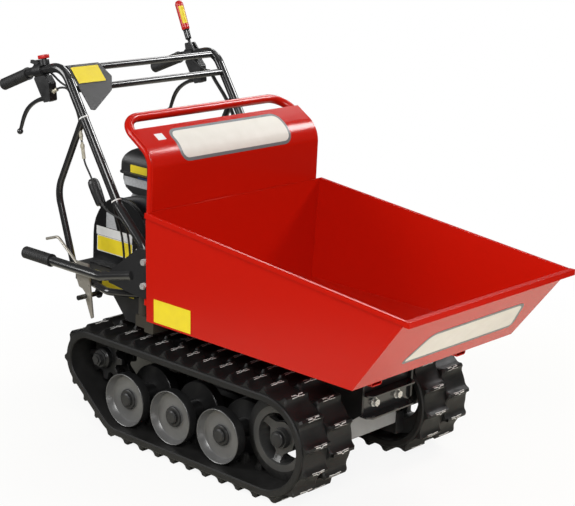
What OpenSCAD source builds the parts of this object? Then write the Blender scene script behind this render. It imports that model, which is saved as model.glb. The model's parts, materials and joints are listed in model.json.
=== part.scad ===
// Tracked power carrier: a tipping tub on rubber tracks, with an engine deck and handlebars behind it.
// X points forward to the tub's lip, Y to the operator's left, Z up. The tracks stand on Z = 0.

/* [Tub] */
// Height of the tub's floor above the ground
floor_z = 372; // [366:1:380]
// Place of the tub's back along the carrier
tub_back_x = -112; // [-116:1:-106]
// Length of the tub's floor
floor_l = 711; // [690:1:730]
// Reach of the tub from its back to its lip
tub_reach = 867; // [845:1:890]
// Width across the tub's top edges at the back
tub_top_w = 700; // [690:2:710]
// Width across the tub's floor
floor_w = 674; // [660:2:686]
// Height of the tub at its back
tub_back_h = 300; // [280:1:320]
// Height of the tub at its lip
tub_lip_h = 214; // [195:1:230]
// Thickness of the tub's sheet
sheet_t = 3; // [2:0.5:4]
// Depth of the folded edge round the tub
hem_h = 13; // [9:1:16]
// Width of the folded edge round the tub
hem_w = 6; // [4:1:9]
// Height of the two rails under the tub
rail_h = 39; // [30:1:39]
// Width of each rail
rail_w = 44; // [36:1:52]
// Distance between the rails, centre to centre
rail_gauge = 356; // [340:2:370]
// Place of the rails' front ends
rail_front_x = 550; // [530:1:570]

/* [Tipping hinge] */
// Place of the tipping axis along the carrier
hinge_x = 450; // [440:1:455]
// Height of the tipping axis
hinge_z = 312; // [306:1:316]
// Diameter of the hinge pins
hinge_pin_d = 16; // [12:1:18]
// Radius of the hinge lugs and ears
hinge_ear_r = 21; // [17:1:24]

/* [Guard] */
// Diameter of the hoop's tube
hoop_d = 25; // [22:1:28]
// Distance between the hoop's legs, centre to centre
hoop_w = 636; // [616:2:644]
// Radius of the hoop's bends
hoop_bend = 62; // [45:1:75]
// Height of the guard's upright part above the tub
guard_h = 150; // [130:1:170]
// Lean of the guard's upper part from upright
guard_lean = 58; // [50:1:64]
// Length of the guard's leaning sheet
guard_l = 98; // [80:1:110]
// Opening between the sheet and the hoop's top bar
hoop_gap = 50; // [44:1:65]

/* [Tracks] */
// Distance between the tracks, centre to centre
track_gauge = 500; // [496:2:506]
// Width of a track
track_w = 200; // [190:2:202]
// Links round one track
link_count = 33; // [31:1:35]
// Thickness of the belt
belt_t = 20; // [16:1:22]
// Height of the lugs on the belt
lug_h = 18; // [14:1:20]
// Width of the smooth edge beside the lugs
edge_w = 7; // [4:1:12]
// Height of the guide teeth inside the belt
guide_h = 24; // [16:1:26]
// Width of the guide teeth
guide_w = 26; // [18:1:28]
// Diameter of a road roller
roller_d = 154; // [146:1:156]
// Distance between the road rollers
roller_pitch = 178; // [172:1:182]
// Place of the rear road roller
roller_x = -211; // [-215:1:-207]
// Diameter of the front idler
idler_d = 231; // [222:1:234]
// Place of the front idler
idler_x = 327; // [322:1:334]
// Diameter of the belt's seat on the sprocket
sprocket_d = 136; // [130:1:142]
// Teeth on each sprocket disc
sprocket_teeth = 8; // [7:1:9]
// Place of the drive axle
sprocket_x = -332; // [-340:1:-328]
// Height of the drive axle
sprocket_z = 201; // [196:1:205]
// Diameter of the roller and idler axles
axle_d = 25; // [20:1:28]
// Diameter of the drive axle
drive_axle_d = 30; // [25:1:34]

/* [Chassis] */
// Width between the chassis side plates
chassis_w = 196; // [190:1:198]
// Thickness of the chassis side plates
plate_t = 8; // [6:0.5:9]
// Height of the chassis plates' lower edge
chassis_low_z = 186; // [183:1:190]
// Place of the chassis plates' front edge
chassis_front_x = 452; // [448:1:456]
// Place of the chassis plates' rear edge
chassis_rear_x = -440; // [-450:1:-432]
// Size of the square beam that the tub rests on
rest_beam_s = 34; // [28:1:34]
// Height of the cross beams between the track beams
cross_beam_h = 71; // [56:1:72]
// Height of a track beam
track_beam_h = 60; // [50:1:70]
// Width of a track beam
track_beam_w = 32; // [28:1:34]
// Wall of the beams
beam_wall = 4; // [3:0.5:5]
// Height of the front channel
channel_h = 64; // [56:1:70]
// Depth of the front channel's flanges
channel_d = 35; // [28:1:42]

/* [Deck and engine] */
// Height of the engine deck's underside
deck_z = 430; // [426:1:434]
// Thickness of the engine deck
deck_t = 6; // [4:0.5:6]
// Rear edge of the engine deck
deck_rear_x = -505; // [-512:1:-500]
// Front edge of the engine deck
deck_front_x = -186; // [-192:1:-182]
// Width of the engine deck
deck_w = 550; // [540:2:552]
// Place of the crankshaft along the carrier
crank_x = -365; // [-370:1:-360]
// Height of the crankshaft above the deck
crank_h = 106; // [100:1:112]
// Place of the gearbox's input shaft
input_x = -345; // [-350:1:-340]
// Height of the gearbox's input shaft
input_z = 300; // [296:1:304]
// Diameter of the two pulley shafts
shaft_d = 20; // [16:1:24]
// Diameter of the engine pulley
engine_pulley_d = 76; // [66:1:86]
// Diameter of the gearbox pulley
gearbox_pulley_d = 110; // [100:1:116]
// Width of the belt guard
belt_guard_w = 230; // [220:1:236]
// Height of the belt guard
belt_guard_h = 200; // [190:1:212]
// Thickness of the belt guard's wall
cover_t = 2.5; // [2:0.5:3]

/* [Handlebars] */
// Diameter of the handlebar tubes
bar_d = 26; // [24:0.5:28]
// Distance between the handlebars, centre to centre
bar_gauge = 592; // [588:1:596]
// Place of the handlebars' feet
bar_foot_x = -160; // [-164:1:-157]
// Height of the handlebars at their top bend
bar_top_z = 1000; // [985:1:1015]
// Radius of the handlebars' bends
bar_bend = 60; // [45:1:70]
// Diameter of the two cross bars
cross_bar_d = 19; // [17:1:25]
// Diameter of the stays
stay_d = 19; // [17:1:25]
// Diameter of the handlebar grips
grip_d = 34; // [32:0.5:38]
// Length of the handlebar grips
grip_l = 118; // [105:1:120]
// Ribs on a grip
grip_ribs = 12; // [8:1:14]
// Diameter of the control cables
cable_d = 6; // [5:0.5:7]

/* [Tipping handle] */
// Diameter of the tipping handle's tube
handle_d = 27; // [24:1:28]
// Place of the tipping handle across the carrier
handle_y = -335; // [-338:1:-334]
// Height of the tipping handle's straight tube
handle_z = 455; // [450:1:460]
// Place of the tipping handle's end
handle_end_x = -610; // [-625:1:-595]
// Diameter of the pin that the latch hooks
striker_d = 14; // [12:1:16]

/* [Fits] */
// Radial clearance of pins and shafts
pin_fit = 0.05; // [0.02:0.01:0.1]
// Free space between parts that pass each other
run_gap = 0.5; // [0.3:0.1:0.8]

/* [Hidden] */
$fn = 48;

// Colours of the finishes
red = "#c81e14";
black = "#232326";
rubber = "#1c1c1d";
grey = "#8d9093";
zinc = "#c9c6bd";
silver = "#b9bbbd";

// Tub, worked out from its sizes
tub_lip_x = tub_back_x + tub_reach;
front_slope = (tub_reach - floor_l) / tub_lip_h;
side_slope = (tub_top_w - floor_w) / 2 / tub_back_h;
rail_low_z = floor_z - rail_h;
hinge_plate_t = 4;
lug_t = 8;

// Chassis
chassis_y = chassis_w / 2;
chassis_out_y = chassis_y + plate_t;
lug_y = chassis_out_y + 6;
rest_z = floor_z - 0.3;
chassis_top_z = rest_z - rest_beam_s;
track_beam_y = chassis_out_y + 6;
track_beam_out_y = track_beam_y + track_beam_w;
channel_x = chassis_front_x - 12;
channel_z = chassis_low_z + 12;
channel_bolt_y = 48;
cross_beam_front_x = 400;
cross_beam_rear_x = -130;
cross_beam_l = 44;

// Running gear
track_y = track_gauge / 2;
ground_t = belt_t + lug_h;
roller_z = ground_t + roller_d / 2;
idler_z = ground_t + idler_d / 2;
roller_half = 70;
roller_disc = 30;
idler_half = 33;
idler_rim = 16;
pitch_line = 8;
beam_rear_x = roller_x - 40;
beam_front_x = cross_beam_front_x + 2;

// Deck, engine and drive
deck_top_z = deck_z + deck_t;
crank_z = deck_top_z + crank_h;
belt_y = -132;
pulley_w = 24;
belt_w = 10;
belt_depth = 8;
block_y = [-100, 90];
guard_y = [-200, -112];
tank_z = 692;
arm_pivot = [-269, 346];
arm_l = 51;
arm_lean = -12;
gear_pivot = [-487.5, deck_top_z + 18];
gear_y = -100;

// Handlebars
bar_y = bar_gauge / 2;
bar_foot_z = rest_z;
bar_path = [[bar_foot_x, bar_foot_z], [bar_foot_x, 548], [-276, 653], [-505, bar_top_z], [-640, bar_top_z - 35], [-757, bar_top_z - 85]];
stay_path = [[bar_x(872) - 0.5, 872], [-524, 648], [-449, deck_top_z]];
perch_at = [-600, bar_top_z - 24.6];
perch_turn = -14.5;
lever_pivot = [16, -76];
drive_pivot = [0, 25];
throttle_pivot = [-8, 21];

// Track path round the sprocket, the idler and the rear roller
wheels = [
  [sprocket_x, sprocket_z, sprocket_d / 2],
  [idler_x, idler_z, idler_d / 2],
  [roller_x, roller_z, roller_d / 2]
];
function span(a, b) = norm([b[0] - a[0], b[1] - a[1]]);
function facing(a, b) = atan2(b[1] - a[1], b[0] - a[0]) + acos((a[2] - b[2]) / span(a, b));
function below(a, b) = a > b ? below(a - 360, b) : a;
face_si = facing(wheels[0], wheels[1]);
face_ir = below(facing(wheels[1], wheels[2]), face_si);
face_rs = below(facing(wheels[2], wheels[0]), face_ir);
starts = [face_rs + 360, face_si, face_ir];
ends = [face_si, face_ir, face_rs];
function arc_run(i) = (wheels[i][2] + pitch_line) * (starts[i] - ends[i]) * PI / 180;
function straight_run(i) = let (a = wheels[i], b = wheels[(i + 1) % 3]) sqrt(pow(span(a, b), 2) - pow(a[2] - b[2], 2));
runs = [for (i = [0:2]) each [arc_run(i), straight_run(i)]];
function sum_to(list, n) = n == 0 ? 0 : list[n - 1] + sum_to(list, n - 1);
marks = [for (k = [0:6]) sum_to(runs, k)];
loop_l = marks[6];
link = loop_l / link_count;
function on_arc(i, u, d) = let (a = starts[i] - u / (wheels[i][2] + pitch_line) * 180 / PI)
  [wheels[i][0] + (wheels[i][2] + d) * cos(a), wheels[i][1] + (wheels[i][2] + d) * sin(a)];
function on_straight(i, u, d) = let (a = ends[i])
  [wheels[i][0] + (wheels[i][2] + d) * cos(a) + u * sin(a), wheels[i][1] + (wheels[i][2] + d) * sin(a) - u * cos(a)];
function track_point(s, d) =
  let (t = s - loop_l * floor(s / loop_l), k = len([for (m = marks) if (m <= t) 1]) - 1, u = t - marks[k], i = floor(k / 2))
  k % 2 == 0 ? on_arc(i, u, d) : on_straight(i, u, d);

// Lug and guide tooth outlines: place along one link, share of the full height
lug_profile = [[-0.36, 0], [-0.15, 0.28], [-0.065, 1], [0.065, 1], [0.15, 0.28], [0.36, 0]];
guide_profile = [[-0.22, 0], [-0.13, 1], [0.13, 1], [0.22, 0]];
function band(d) = [for (k = [0:4 * link_count - 1]) track_point(k * link / 4, d)];
function lug_outline(phase) = [for (k = [0:link_count - 1], p = lug_profile)
  track_point((k + phase + p[0]) * link, belt_t + p[1] * lug_h)];
function guide_outline() = [for (k = [0:link_count - 1], p = guide_profile)
  track_point((k + p[0]) * link, -p[1] * guide_h)];

// Vectors, rounded outlines and swept cables
function unit(v) = v / norm(v);
function near_turn(a) = a > 180 ? a - 360 : a < -180 ? a + 360 : a;
function corner(a, b, c, r, n) =
  let (
    u = unit(a - b), v = unit(c - b), t = acos(u * v), m = b + unit(u + v) * r / sin(t / 2),
    s = b + u * r / tan(t / 2) - m, e = b + v * r / tan(t / 2) - m,
    a0 = atan2(s[1], s[0]), turn = near_turn(atan2(e[1], e[0]) - a0)
  )
  [for (k = [0:n]) m + r * [cos(a0 + turn * k / n), sin(a0 + turn * k / n)]];
function soft(pts, r, n = 4) = let (c = len(pts))
  [for (i = [0:c - 1]) each corner(pts[(i + c - 1) % c], pts[i], pts[(i + 1) % c], r, n)];
function box_pts(x0, y0, x1, y1) = [[x0, y0], [x1, y0], [x1, y1], [x0, y1]];
function arch(x0, x1, y0, y1, n = 16) = let (r = (x1 - x0) / 2, m = (x0 + x1) / 2)
  [[x0, y0], [x1, y0], for (k = [0:n]) [m + r * cos(180 * k / n), y1 - r + r * sin(180 * k / n)]];
function between(a, b, c, d, t) = 0.5 * (2 * b + (c - a) * t + (2 * a - 5 * b + 4 * c - d) * t * t
  + (3 * b - a - 3 * c + d) * t * t * t);
function smooth(pts, n) = let (c = len(pts) - 1)
  [for (i = [0:c - 1], k = [0:n - 1])
    between(pts[max(i - 1, 0)], pts[i], pts[i + 1], pts[min(i + 2, c)], k / n), pts[c]];

module sweep(pts, r, sides = 8) {
  last = len(pts) - 1;
  dirs = [for (i = [0:last]) unit(pts[min(i + 1, last)] - pts[max(i - 1, 0)])];
  rings = [for (i = [0:last], k = [0:sides - 1])
    let (u = unit(cross(dirs[i], abs(dirs[i][1]) < 0.9 ? [0, 1, 0] : [1, 0, 0])), v = cross(dirs[i], u))
    pts[i] + r * (cos(360 * k / sides) * u + sin(360 * k / sides) * v)];
  walls = [for (i = [0:last - 1], k = [0:sides - 1])
    let (a = i * sides + k, b = i * sides + (k + 1) % sides)
    each [[a, b, a + sides], [b, b + sides, a + sides]]];
  caps = [for (k = [1:sides - 2]) each [[0, k + 1, k], [last * sides, last * sides + k, last * sides + k + 1]]];
  polyhedron(rings, [for (f = concat(walls, caps)) [f[0], f[2], f[1]]]);
}

module slab_x(x0, x1) {
  translate([x0, 0, 0]) rotate([90, 0, 90]) linear_extrude(x1 - x0) children();
}

module slab_y(y0, y1) {
  translate([0, y1, 0]) rotate([90, 0, 0]) linear_extrude(y1 - y0) children();
}

module slab_z(z0, z1) {
  translate([0, 0, z0]) linear_extrude(z1 - z0) children();
}

module pin_y(at, y0, y1, d) {
  translate([at[0], y0, at[1]]) rotate([-90, 0, 0]) cylinder(d = d, h = y1 - y0);
}

// A turned shape whose axis points out from the carrier's middle on the given side
module turned(at, y, side) {
  translate([at[0], side * y, at[1]]) rotate([-90 * side, 0, 0]) rotate_extrude() children();
}

module rod(p, q, d) {
  along(p, q) cylinder(d = d, h = norm(q - p));
}

module elbow(a, b, c, d, bend) {
  u = unit(b - a);
  v = unit(c - b);
  t = acos(u * v);
  m = b + unit(v - u) * bend / cos(t / 2);
  x = unit(b - u * bend * tan(t / 2) - m);
  w = cross(x, u);
  multmatrix([[x[0], u[0], w[0], m[0]], [x[1], u[1], w[1], m[1]], [x[2], u[2], w[2], m[2]], [0, 0, 0, 1]])
    rotate_extrude(angle = t) translate([bend, 0]) circle(d = d + bend_swell);
}

function cut_back(pts, i, bend) = i == 0 || i == len(pts) - 1 ? 0
  : bend * tan(acos(unit(pts[i] - pts[i - 1]) * unit(pts[i + 1] - pts[i])) / 2);

// A bent tube; each straight runs a little way into the bends, which are a shade wider
bend_swell = 0.3;
bend_lap = 1.5;

module bent_tube(pts, d, bend) {
  last = len(pts) - 1;
  for (i = [0:last - 1]) {
    u = unit(pts[i + 1] - pts[i]);
    p = i == 0 ? pts[i] : pts[i] + u * (cut_back(pts, i, bend) - bend_lap);
    q = i + 1 == last ? pts[last] : pts[i + 1] - u * (cut_back(pts, i + 1, bend) - bend_lap);
    rod(p, q, d);
  }
  for (i = [1:last - 1]) elbow(pts[i - 1], pts[i], pts[i + 1], d, bend);
}

// Places a shape so that its own Z runs from p towards q
module along(p, q) {
  v = q - p;
  translate(p) rotate([0, acos(v[2] / norm(v)), atan2(v[1], v[0])]) children();
}

function lift(path, y) = [for (p = path) [p[0], y, p[1]]];

module block_of(low, high) {
  polyhedron(concat(low, high), [[0, 1, 2, 3], [4, 7, 6, 5], [0, 4, 5, 1], [1, 5, 6, 2], [2, 6, 7, 3], [3, 7, 4, 0]]);
}

module hex(d, h) {
  cylinder(d = d, h = h, $fn = 6);
}

// Tub

function half_w(h) = floor_w / 2 + side_slope * h;
function front_x(h) = tub_back_x + floor_l + front_slope * h;

module tub_shell() {
  skin = sheet_t * sqrt(1 + front_slope * front_slope);
  over = tub_back_h + 60;
  lip = tub_lip_h;
  back = tub_back_h;
  color(red) translate([0, 0, floor_z]) {
    difference() {
      block_of(
        [[tub_back_x, -half_w(0), 0], [front_x(0), -half_w(0), 0], [front_x(0), half_w(0), 0], [tub_back_x, half_w(0), 0]],
        [[tub_back_x, -half_w(back), back], [front_x(lip), -half_w(lip), lip],
         [front_x(lip), half_w(lip), lip], [tub_back_x, half_w(back), back]]
      );
      block_of(
        [[tub_back_x + sheet_t, -half_w(sheet_t) + sheet_t, sheet_t], [front_x(sheet_t) - skin, -half_w(sheet_t) + sheet_t, sheet_t],
         [front_x(sheet_t) - skin, half_w(sheet_t) - sheet_t, sheet_t], [tub_back_x + sheet_t, half_w(sheet_t) - sheet_t, sheet_t]],
        [[tub_back_x + sheet_t, -half_w(over) + sheet_t, over], [front_x(over) - skin, -half_w(over) + sheet_t, over],
         [front_x(over) - skin, half_w(over) - sheet_t, over], [tub_back_x + sheet_t, half_w(over) - sheet_t, over]]
      );
    }
    for (side = [-1, 1]) side_hem(side);
    lip_hem();
  }
}

// Folded edge along one side, from the back down to the lip
module side_hem(side) {
  a = [tub_back_x + 2, tub_back_h];
  b = [front_x(tub_lip_h), tub_lip_h];
  low = [for (p = [a, b]) each [[p[0], side * (half_w(p[1]) - sheet_t / 2), p[1] - hem_h], [p[0], side * (half_w(p[1]) + hem_w), p[1] - hem_h]]];
  high = [for (p = low) p + [0, 0, hem_h + 0.6]];
  if (side > 0) block_of([low[0], low[2], low[3], low[1]], [high[0], high[2], high[3], high[1]]);
  else block_of([low[1], low[3], low[2], low[0]], [high[1], high[3], high[2], high[0]]);
}

// Folded edge along the lip
module lip_hem() {
  x0 = front_x(tub_lip_h) - sheet_t;
  x1 = front_x(tub_lip_h) + 2 * hem_w;
  y = half_w(tub_lip_h) + hem_w + 1.5;
  slab_z(tub_lip_h - hem_h - 1, tub_lip_h + 1.4) polygon(box_pts(x0 - 1, -y, x1, y));
}

lean_dir = [-sin(guard_lean), cos(guard_lean)];
guard_seat = 0.35;
guard_low_z = floor_z + tub_back_h;
guard_bend_z = guard_low_z + guard_h;

module back_guard() {
  y = hoop_w / 2 + hoop_d / 2;
  r = hoop_bend + hoop_d / 2;
  tangent = r * tan(guard_lean / 2);
  middle = [tub_back_x - r, guard_bend_z - tangent];
  bend = [for (k = [0:16]) let (a = guard_lean * k / 16) [cos(a), sin(a)]];
  rest = (guard_l - tangent) * lean_dir;
  back = r + guard_seat;
  front = back + sheet_t;
  color(red) slab_y(-y, y)
    polygon(concat([[middle[0] + back, guard_low_z], [middle[0] + front, guard_low_z]],
      [for (d = bend) middle + front * d], [middle + front * bend[16] + rest, middle + back * bend[16] + rest],
      [for (k = [16:-1:0]) middle + back * bend[k]]));
}

hoop_x = tub_back_x - hoop_d / 2;
hoop_leg_z = floor_z + 40;
hoop_bend_z = guard_bend_z - hoop_d / 2 * tan(guard_lean / 2);
hoop_top = [hoop_x, hoop_bend_z] + (guard_l + hoop_gap) * lean_dir;
handle_bolts_z = [handle_z + 12, handle_z + 78];

module guard_hoop() {
  half = [[hoop_x, hoop_leg_z], [hoop_x, hoop_bend_z], hoop_top];
  y = hoop_w / 2;
  color(red) difference() {
    bent_tube(concat(lift(half, -y), [for (i = [2:-1:0]) [half[i][0], y, half[i][1]]]), hoop_d, hoop_bend);
    for (z = handle_bolts_z) pin_y([hoop_x, z], -y - hoop_d, 0, handle_bolt_d + 2 * pin_fit);
  }
}

module tub_underframe() {
  color(red) {
    for (side = [-1, 1]) {
      y0 = side * rail_gauge / 2;
      slab_x(tub_back_x + rest_beam_s, rail_front_x) difference() {
        polygon(soft(box_pts(y0 - rail_w / 2, rail_low_z, y0 + rail_w / 2, floor_z + 12), 8));
        polygon(box_pts(y0 - rail_w / 2 + beam_wall, rail_low_z + beam_wall, y0 + rail_w / 2 - beam_wall, floor_z + 20));
        polygon(box_pts(y0 - rail_w, floor_z, y0 + rail_w, floor_z + 20));
      }
      slab_y(side > 0 ? lug_y : -lug_y - lug_t, side > 0 ? lug_y + lug_t : -lug_y) hinge_lug();
    }
    inner = rail_gauge / 2 - rail_w / 2;
    slab_z(floor_z - hinge_plate_t, floor_z)
      polygon(box_pts(hinge_x - 40, -inner, hinge_x + 40, inner));
  }
}

module hinge_lug() {
  difference() {
    union() {
      polygon([[hinge_x - 40, floor_z], [hinge_x - hinge_ear_r, hinge_z], [hinge_x + hinge_ear_r, hinge_z], [hinge_x + 40, floor_z]]);
      translate([hinge_x, hinge_z]) circle(hinge_ear_r);
    }
    translate([hinge_x, hinge_z]) circle(d = hinge_pin_d + 2 * pin_fit);
  }
}

// Tipping handle and latch

handle_plate_t = 8;
handle_bolt_d = 10;
latch_pivot = [-398, handle_z];
latch_y = handle_y + handle_d / 2 + 1;
latch_t = 5;
striker_at = [-375, 377];
latch_stud_d = 10;

module tipping_handle() {
  front = [tub_back_x - hoop_d - 34, handle_z + 32];
  plate = [[tub_back_x - 3, handle_z - 22], [tub_back_x - 3, handle_z + 112], [tub_back_x - 36, handle_z + 112],
    [-262, handle_z + 22], [-262, handle_z - 8], [tub_back_x - 36, handle_z - 22]];
  color(black) difference() {
    union() {
      slab_y(handle_y - handle_plate_t / 2, handle_y + handle_plate_t / 2) polygon(soft(plate, 5));
      bent_tube([[front[0], handle_y, front[1]], [-301, handle_y, handle_z], [handle_end_x, handle_y, handle_z]], handle_d, 70);
    }
    for (z = handle_bolts_z) pin_y([hoop_x, z], handle_y - 20, handle_y + 20, handle_bolt_d + 2 * pin_fit);
    pin_y(latch_pivot, handle_y - 6, handle_y + handle_d, latch_stud_d);
  }
}

module ribbed_grip(l, d, bore) {
  rib = l / grip_ribs;
  color(black) rotate_extrude() difference() {
    polygon([[0, 0], [d / 2 + 1, 0], [d / 2 + 1, 5],
      for (k = [0:grip_ribs - 1]) each [[d / 2 - 2.5, 5 + k * (l - 5) / grip_ribs + 1], [d / 2, 5 + k * (l - 5) / grip_ribs + rib * 0.45],
        [d / 2, 5 + k * (l - 5) / grip_ribs + rib * 0.8]],
      [d / 2 - 3, l], [0, l]]);
    translate([-1, -1]) square([bore / 2 + 1, l - 4]);
  }
}

module tipping_grip() {
  l = 114;
  translate([handle_end_x + l - 5 - 0.2, handle_y, handle_z]) rotate([0, -90, 0]) ribbed_grip(l, handle_d + 8, handle_d + 0.2);
}

module handle_bolts() {
  low = handle_y - handle_plate_t / 2;
  color(zinc) {
    for (z = handle_bolts_z) {
      pin_y([hoop_x, z], low, -hoop_w / 2 + hoop_d / 4, handle_bolt_d);
      translate([hoop_x, low, z]) rotate([90, 0, 0]) hex(18, 7);
    }
    pin_y(latch_pivot, handle_y - 5, latch_y + latch_t + 1, latch_stud_d);
    pin_y(latch_pivot, latch_y + latch_t + 0.5, latch_y + latch_t + 3.5, 16);
  }
}

latch_rod_d = 8;

module latch_lever() {
  p = latch_pivot;
  s = striker_at;
  r = striker_d / 2 + run_gap;
  y = latch_y + latch_t / 2;
  color(zinc) {
    difference() {
      slab_y(latch_y, latch_y + latch_t) difference() {
        polygon(soft([[p[0] - 20, p[1] + 16], [p[0] + 32, p[1] + 16], [s[0] + 32, s[1] - 54], [s[0] + 25, s[1] - 60],
          [s[0] + 1.5, s[1] - 9], [s[0] - 1, s[1] + 10], [s[0] - 12, s[1] + 19], [s[0] - 27, s[1] + 23], [p[0] - 15, p[1] - 34]], 2));
        translate(s) circle(r);
        translate(p) circle(d = latch_stud_d + 2 * pin_fit);
      }
    }
    bent_tube([[p[0] - 16, y, p[1] + 8], [-495, y, handle_z + 68], [-544, y, handle_z + 52]], latch_rod_d, 20);
  }
}

// Chassis

hinge_head_d = 26;

module chassis_frame() {
  step_x = tub_back_x - 52;
  outline = [[chassis_rear_x, chassis_low_z], [chassis_front_x - 30, chassis_low_z], [chassis_front_x, chassis_low_z + 24],
    [chassis_front_x, hinge_z - 10], [hinge_x, chassis_top_z], [step_x + 36, chassis_top_z], [step_x, deck_z], [chassis_rear_x, deck_z]];
  color(black) {
    for (side = [-1, 1]) {
      y0 = side > 0 ? chassis_y : -chassis_out_y;
      slab_y(y0, y0 + plate_t) difference() {
        union() {
          polygon(soft(outline, 9));
          translate([hinge_x, hinge_z]) circle(hinge_ear_r);
        }
        translate([hinge_x, hinge_z]) circle(d = hinge_pin_d);
        translate([sprocket_x, sprocket_z]) circle(d = drive_axle_d + 2 * pin_fit);
        translate([input_x, input_z]) circle(d = shaft_d + 16);
        for (x = [40, 170, 300]) translate([x, (chassis_low_z + chassis_top_z) / 2]) circle(32);
      }
    }
    slab_x(channel_x - 8, channel_x) polygon(box_pts(-chassis_y, channel_z, chassis_y, chassis_top_z - 4));
    slab_x(chassis_rear_x, chassis_rear_x + 6) polygon(box_pts(-chassis_y, chassis_low_z + 4, chassis_y, deck_z - 4));
    slab_x(-60, -54) polygon(box_pts(-chassis_y, chassis_low_z + 4, chassis_y, chassis_top_z - 4));
    pin_y(arm_pivot, -track_beam_out_y, -chassis_out_y + 1, 12);
  }
}

module front_channel() {
  x1 = channel_x + channel_d;
  z1 = channel_z + channel_h;
  t = 5;
  cut = 14;
  color(black) difference() {
    slab_y(-chassis_y, chassis_y)
      polygon([[channel_x, channel_z], [x1, channel_z], [x1, channel_z + t], [channel_x + t, channel_z + t],
        [channel_x + t, z1 - t], [x1, z1 - t], [x1, z1], [channel_x, z1]]);
    for (side = [-1, 1]) {
      slab_z(channel_z - 1, z1 + 1)
        polygon([[x1 - cut, side * (chassis_y + 1)], [x1 + 1, side * (chassis_y - cut)], [x1 + 1, side * (chassis_y + 1)]]);
      translate([channel_x - 1, side * channel_bolt_y, channel_z + channel_h / 2]) rotate([0, 90, 0]) cylinder(d = 12.2, h = t + 2);
    }
  }
}

module chassis_fasteners() {
  head_y = lug_y + lug_t + run_gap;
  color(zinc) for (side = [-1, 1]) {
    turned([hinge_x, hinge_z], 0, side)
      polygon([[0, chassis_y - 12], [hinge_pin_d / 2, chassis_y - 12], [hinge_pin_d / 2, head_y], [hinge_head_d / 2, head_y],
        [hinge_head_d / 2, head_y + 6], [0, head_y + 6]]);
    translate([channel_x, side * channel_bolt_y, channel_z + channel_h / 2]) rotate([0, 90, 0]) {
      cylinder(d = 12, h = 14);
      translate([0, 0, 5]) cylinder(d = 26, h = 2.5);
      translate([0, 0, 7.5]) hex(21, 10);
    }
  }
}

socket_d = 36;

module tub_rest_beam() {
  x0 = tub_back_x - 14;
  x1 = x0 + rest_beam_s;
  z0 = chassis_top_z;
  half = floor_w / 2 - 6;
  color(black) {
    slab_y(-half, half) difference() {
      polygon(soft(box_pts(x0, z0, x1, rest_z), 4));
      polygon(box_pts(x0 + beam_wall, z0 + beam_wall, x1 - beam_wall, rest_z - beam_wall));
    }
    for (side = [-1, 1]) {
      slab_y(side > 0 ? half - 8 : -half, side > 0 ? half : 8 - half) polygon(box_pts(x0 + 3, z0 + 3, x1 - 3, rest_z - 3));
      translate([bar_foot_x, side * bar_y, 0]) {
        slab_z(z0 + 2, rest_z) polygon(box_pts(-socket_d / 2, -socket_d / 2, x0 - bar_foot_x, socket_d / 2));
        difference() {
          slab_z(rest_z, rest_z + 62) circle(d = socket_d);
          slab_z(rest_z, rest_z + 70) circle(d = bar_d + 2 * pin_fit);
        }
      }
    }
  }
}

module cross_beams() {
  color(grey) for (x = [cross_beam_front_x, cross_beam_rear_x])
    slab_y(-track_beam_y, track_beam_y) difference() {
      polygon(soft(box_pts(x - cross_beam_l, chassis_low_z - cross_beam_h, x, chassis_low_z), 6));
      polygon(soft(box_pts(x - cross_beam_l + beam_wall, chassis_low_z - cross_beam_h + beam_wall, x - beam_wall, chassis_low_z - beam_wall), 3));
    }
}

function roller_place(n) = [roller_x + (n - 1) * roller_pitch, roller_z];
beam_z = [roller_z - track_beam_h / 2, roller_z + track_beam_h / 2];
screw_d = 16;
screw_z = beam_z[1] + 20;
screw_lug_x = idler_x - 92;

module track_beam(side) {
  y0 = side > 0 ? track_beam_y : -track_beam_out_y;
  y1 = y0 + track_beam_w;
  color(black) difference() {
    union() {
      slab_x(beam_rear_x, beam_front_x) difference() {
        polygon(box_pts(y0, beam_z[0], y1, beam_z[1]));
        polygon(box_pts(y0 + beam_wall, beam_z[0] + beam_wall, y1 - beam_wall, beam_z[1] - beam_wall));
      }
      for (x = [beam_rear_x, beam_front_x - 6]) slab_x(x, x + 6) polygon(box_pts(y0, beam_z[0], y1, beam_z[1]));
      slab_x(screw_lug_x, screw_lug_x + 8) polygon(box_pts(y0, beam_z[1] - 1, y1, screw_z + 16));
    }
    for (n = [1:3]) pin_y(roller_place(n), y0 - 1, y1 + 1, axle_d);
    translate([screw_lug_x - 5, (y0 + y1) / 2, screw_z]) rotate([0, 90, 0]) cylinder(d = screw_d + 1, h = 20);
  }
}

hub_half = 62;

module roller_axles() {
  color(grey) for (side = [-1, 1], n = [1:3])
    turned(roller_place(n), 0, side)
      polygon([[0, track_beam_y], [axle_d / 2, track_beam_y], [axle_d / 2, track_beam_out_y], [18, track_beam_out_y],
        [18, track_y - hub_half - run_gap], [axle_d / 2, track_y - hub_half - run_gap], [axle_d / 2, track_y + 58 + run_gap],
        [19, track_y + 58 + run_gap], [19, track_y + 63], [15, track_y + 66], [0, track_y + 66]]);
}

module roller(side, n) {
  r = roller_d / 2 - 1;
  b = axle_d / 2 + pin_fit;
  out = roller_half;
  color(grey) turned(roller_place(n), track_y, side) {
    polygon([[b, -hub_half], [26, -hub_half], [26, -out + 21], [r - 16, -out + 16], [r - 12, -out], [r - 2, -out], [r, -out + 2],
      [r, -out + roller_disc - 2], [r - 2, -out + roller_disc], [r - 13, -out + roller_disc], [26, -out + roller_disc + 4],
      [26, out - roller_disc - 4], [r - 13, out - roller_disc], [r - 2, out - roller_disc], [r, out - roller_disc + 2],
      [r, out - 2], [r - 2, out], [r - 8, out], [r - 14, out - 6], [r - 17, out - 15], [34, out - 21], [30, out - 13], [26, 58], [b, 58]]);
  }
}

spokes = 3;
spoke_w = 20;

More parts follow.
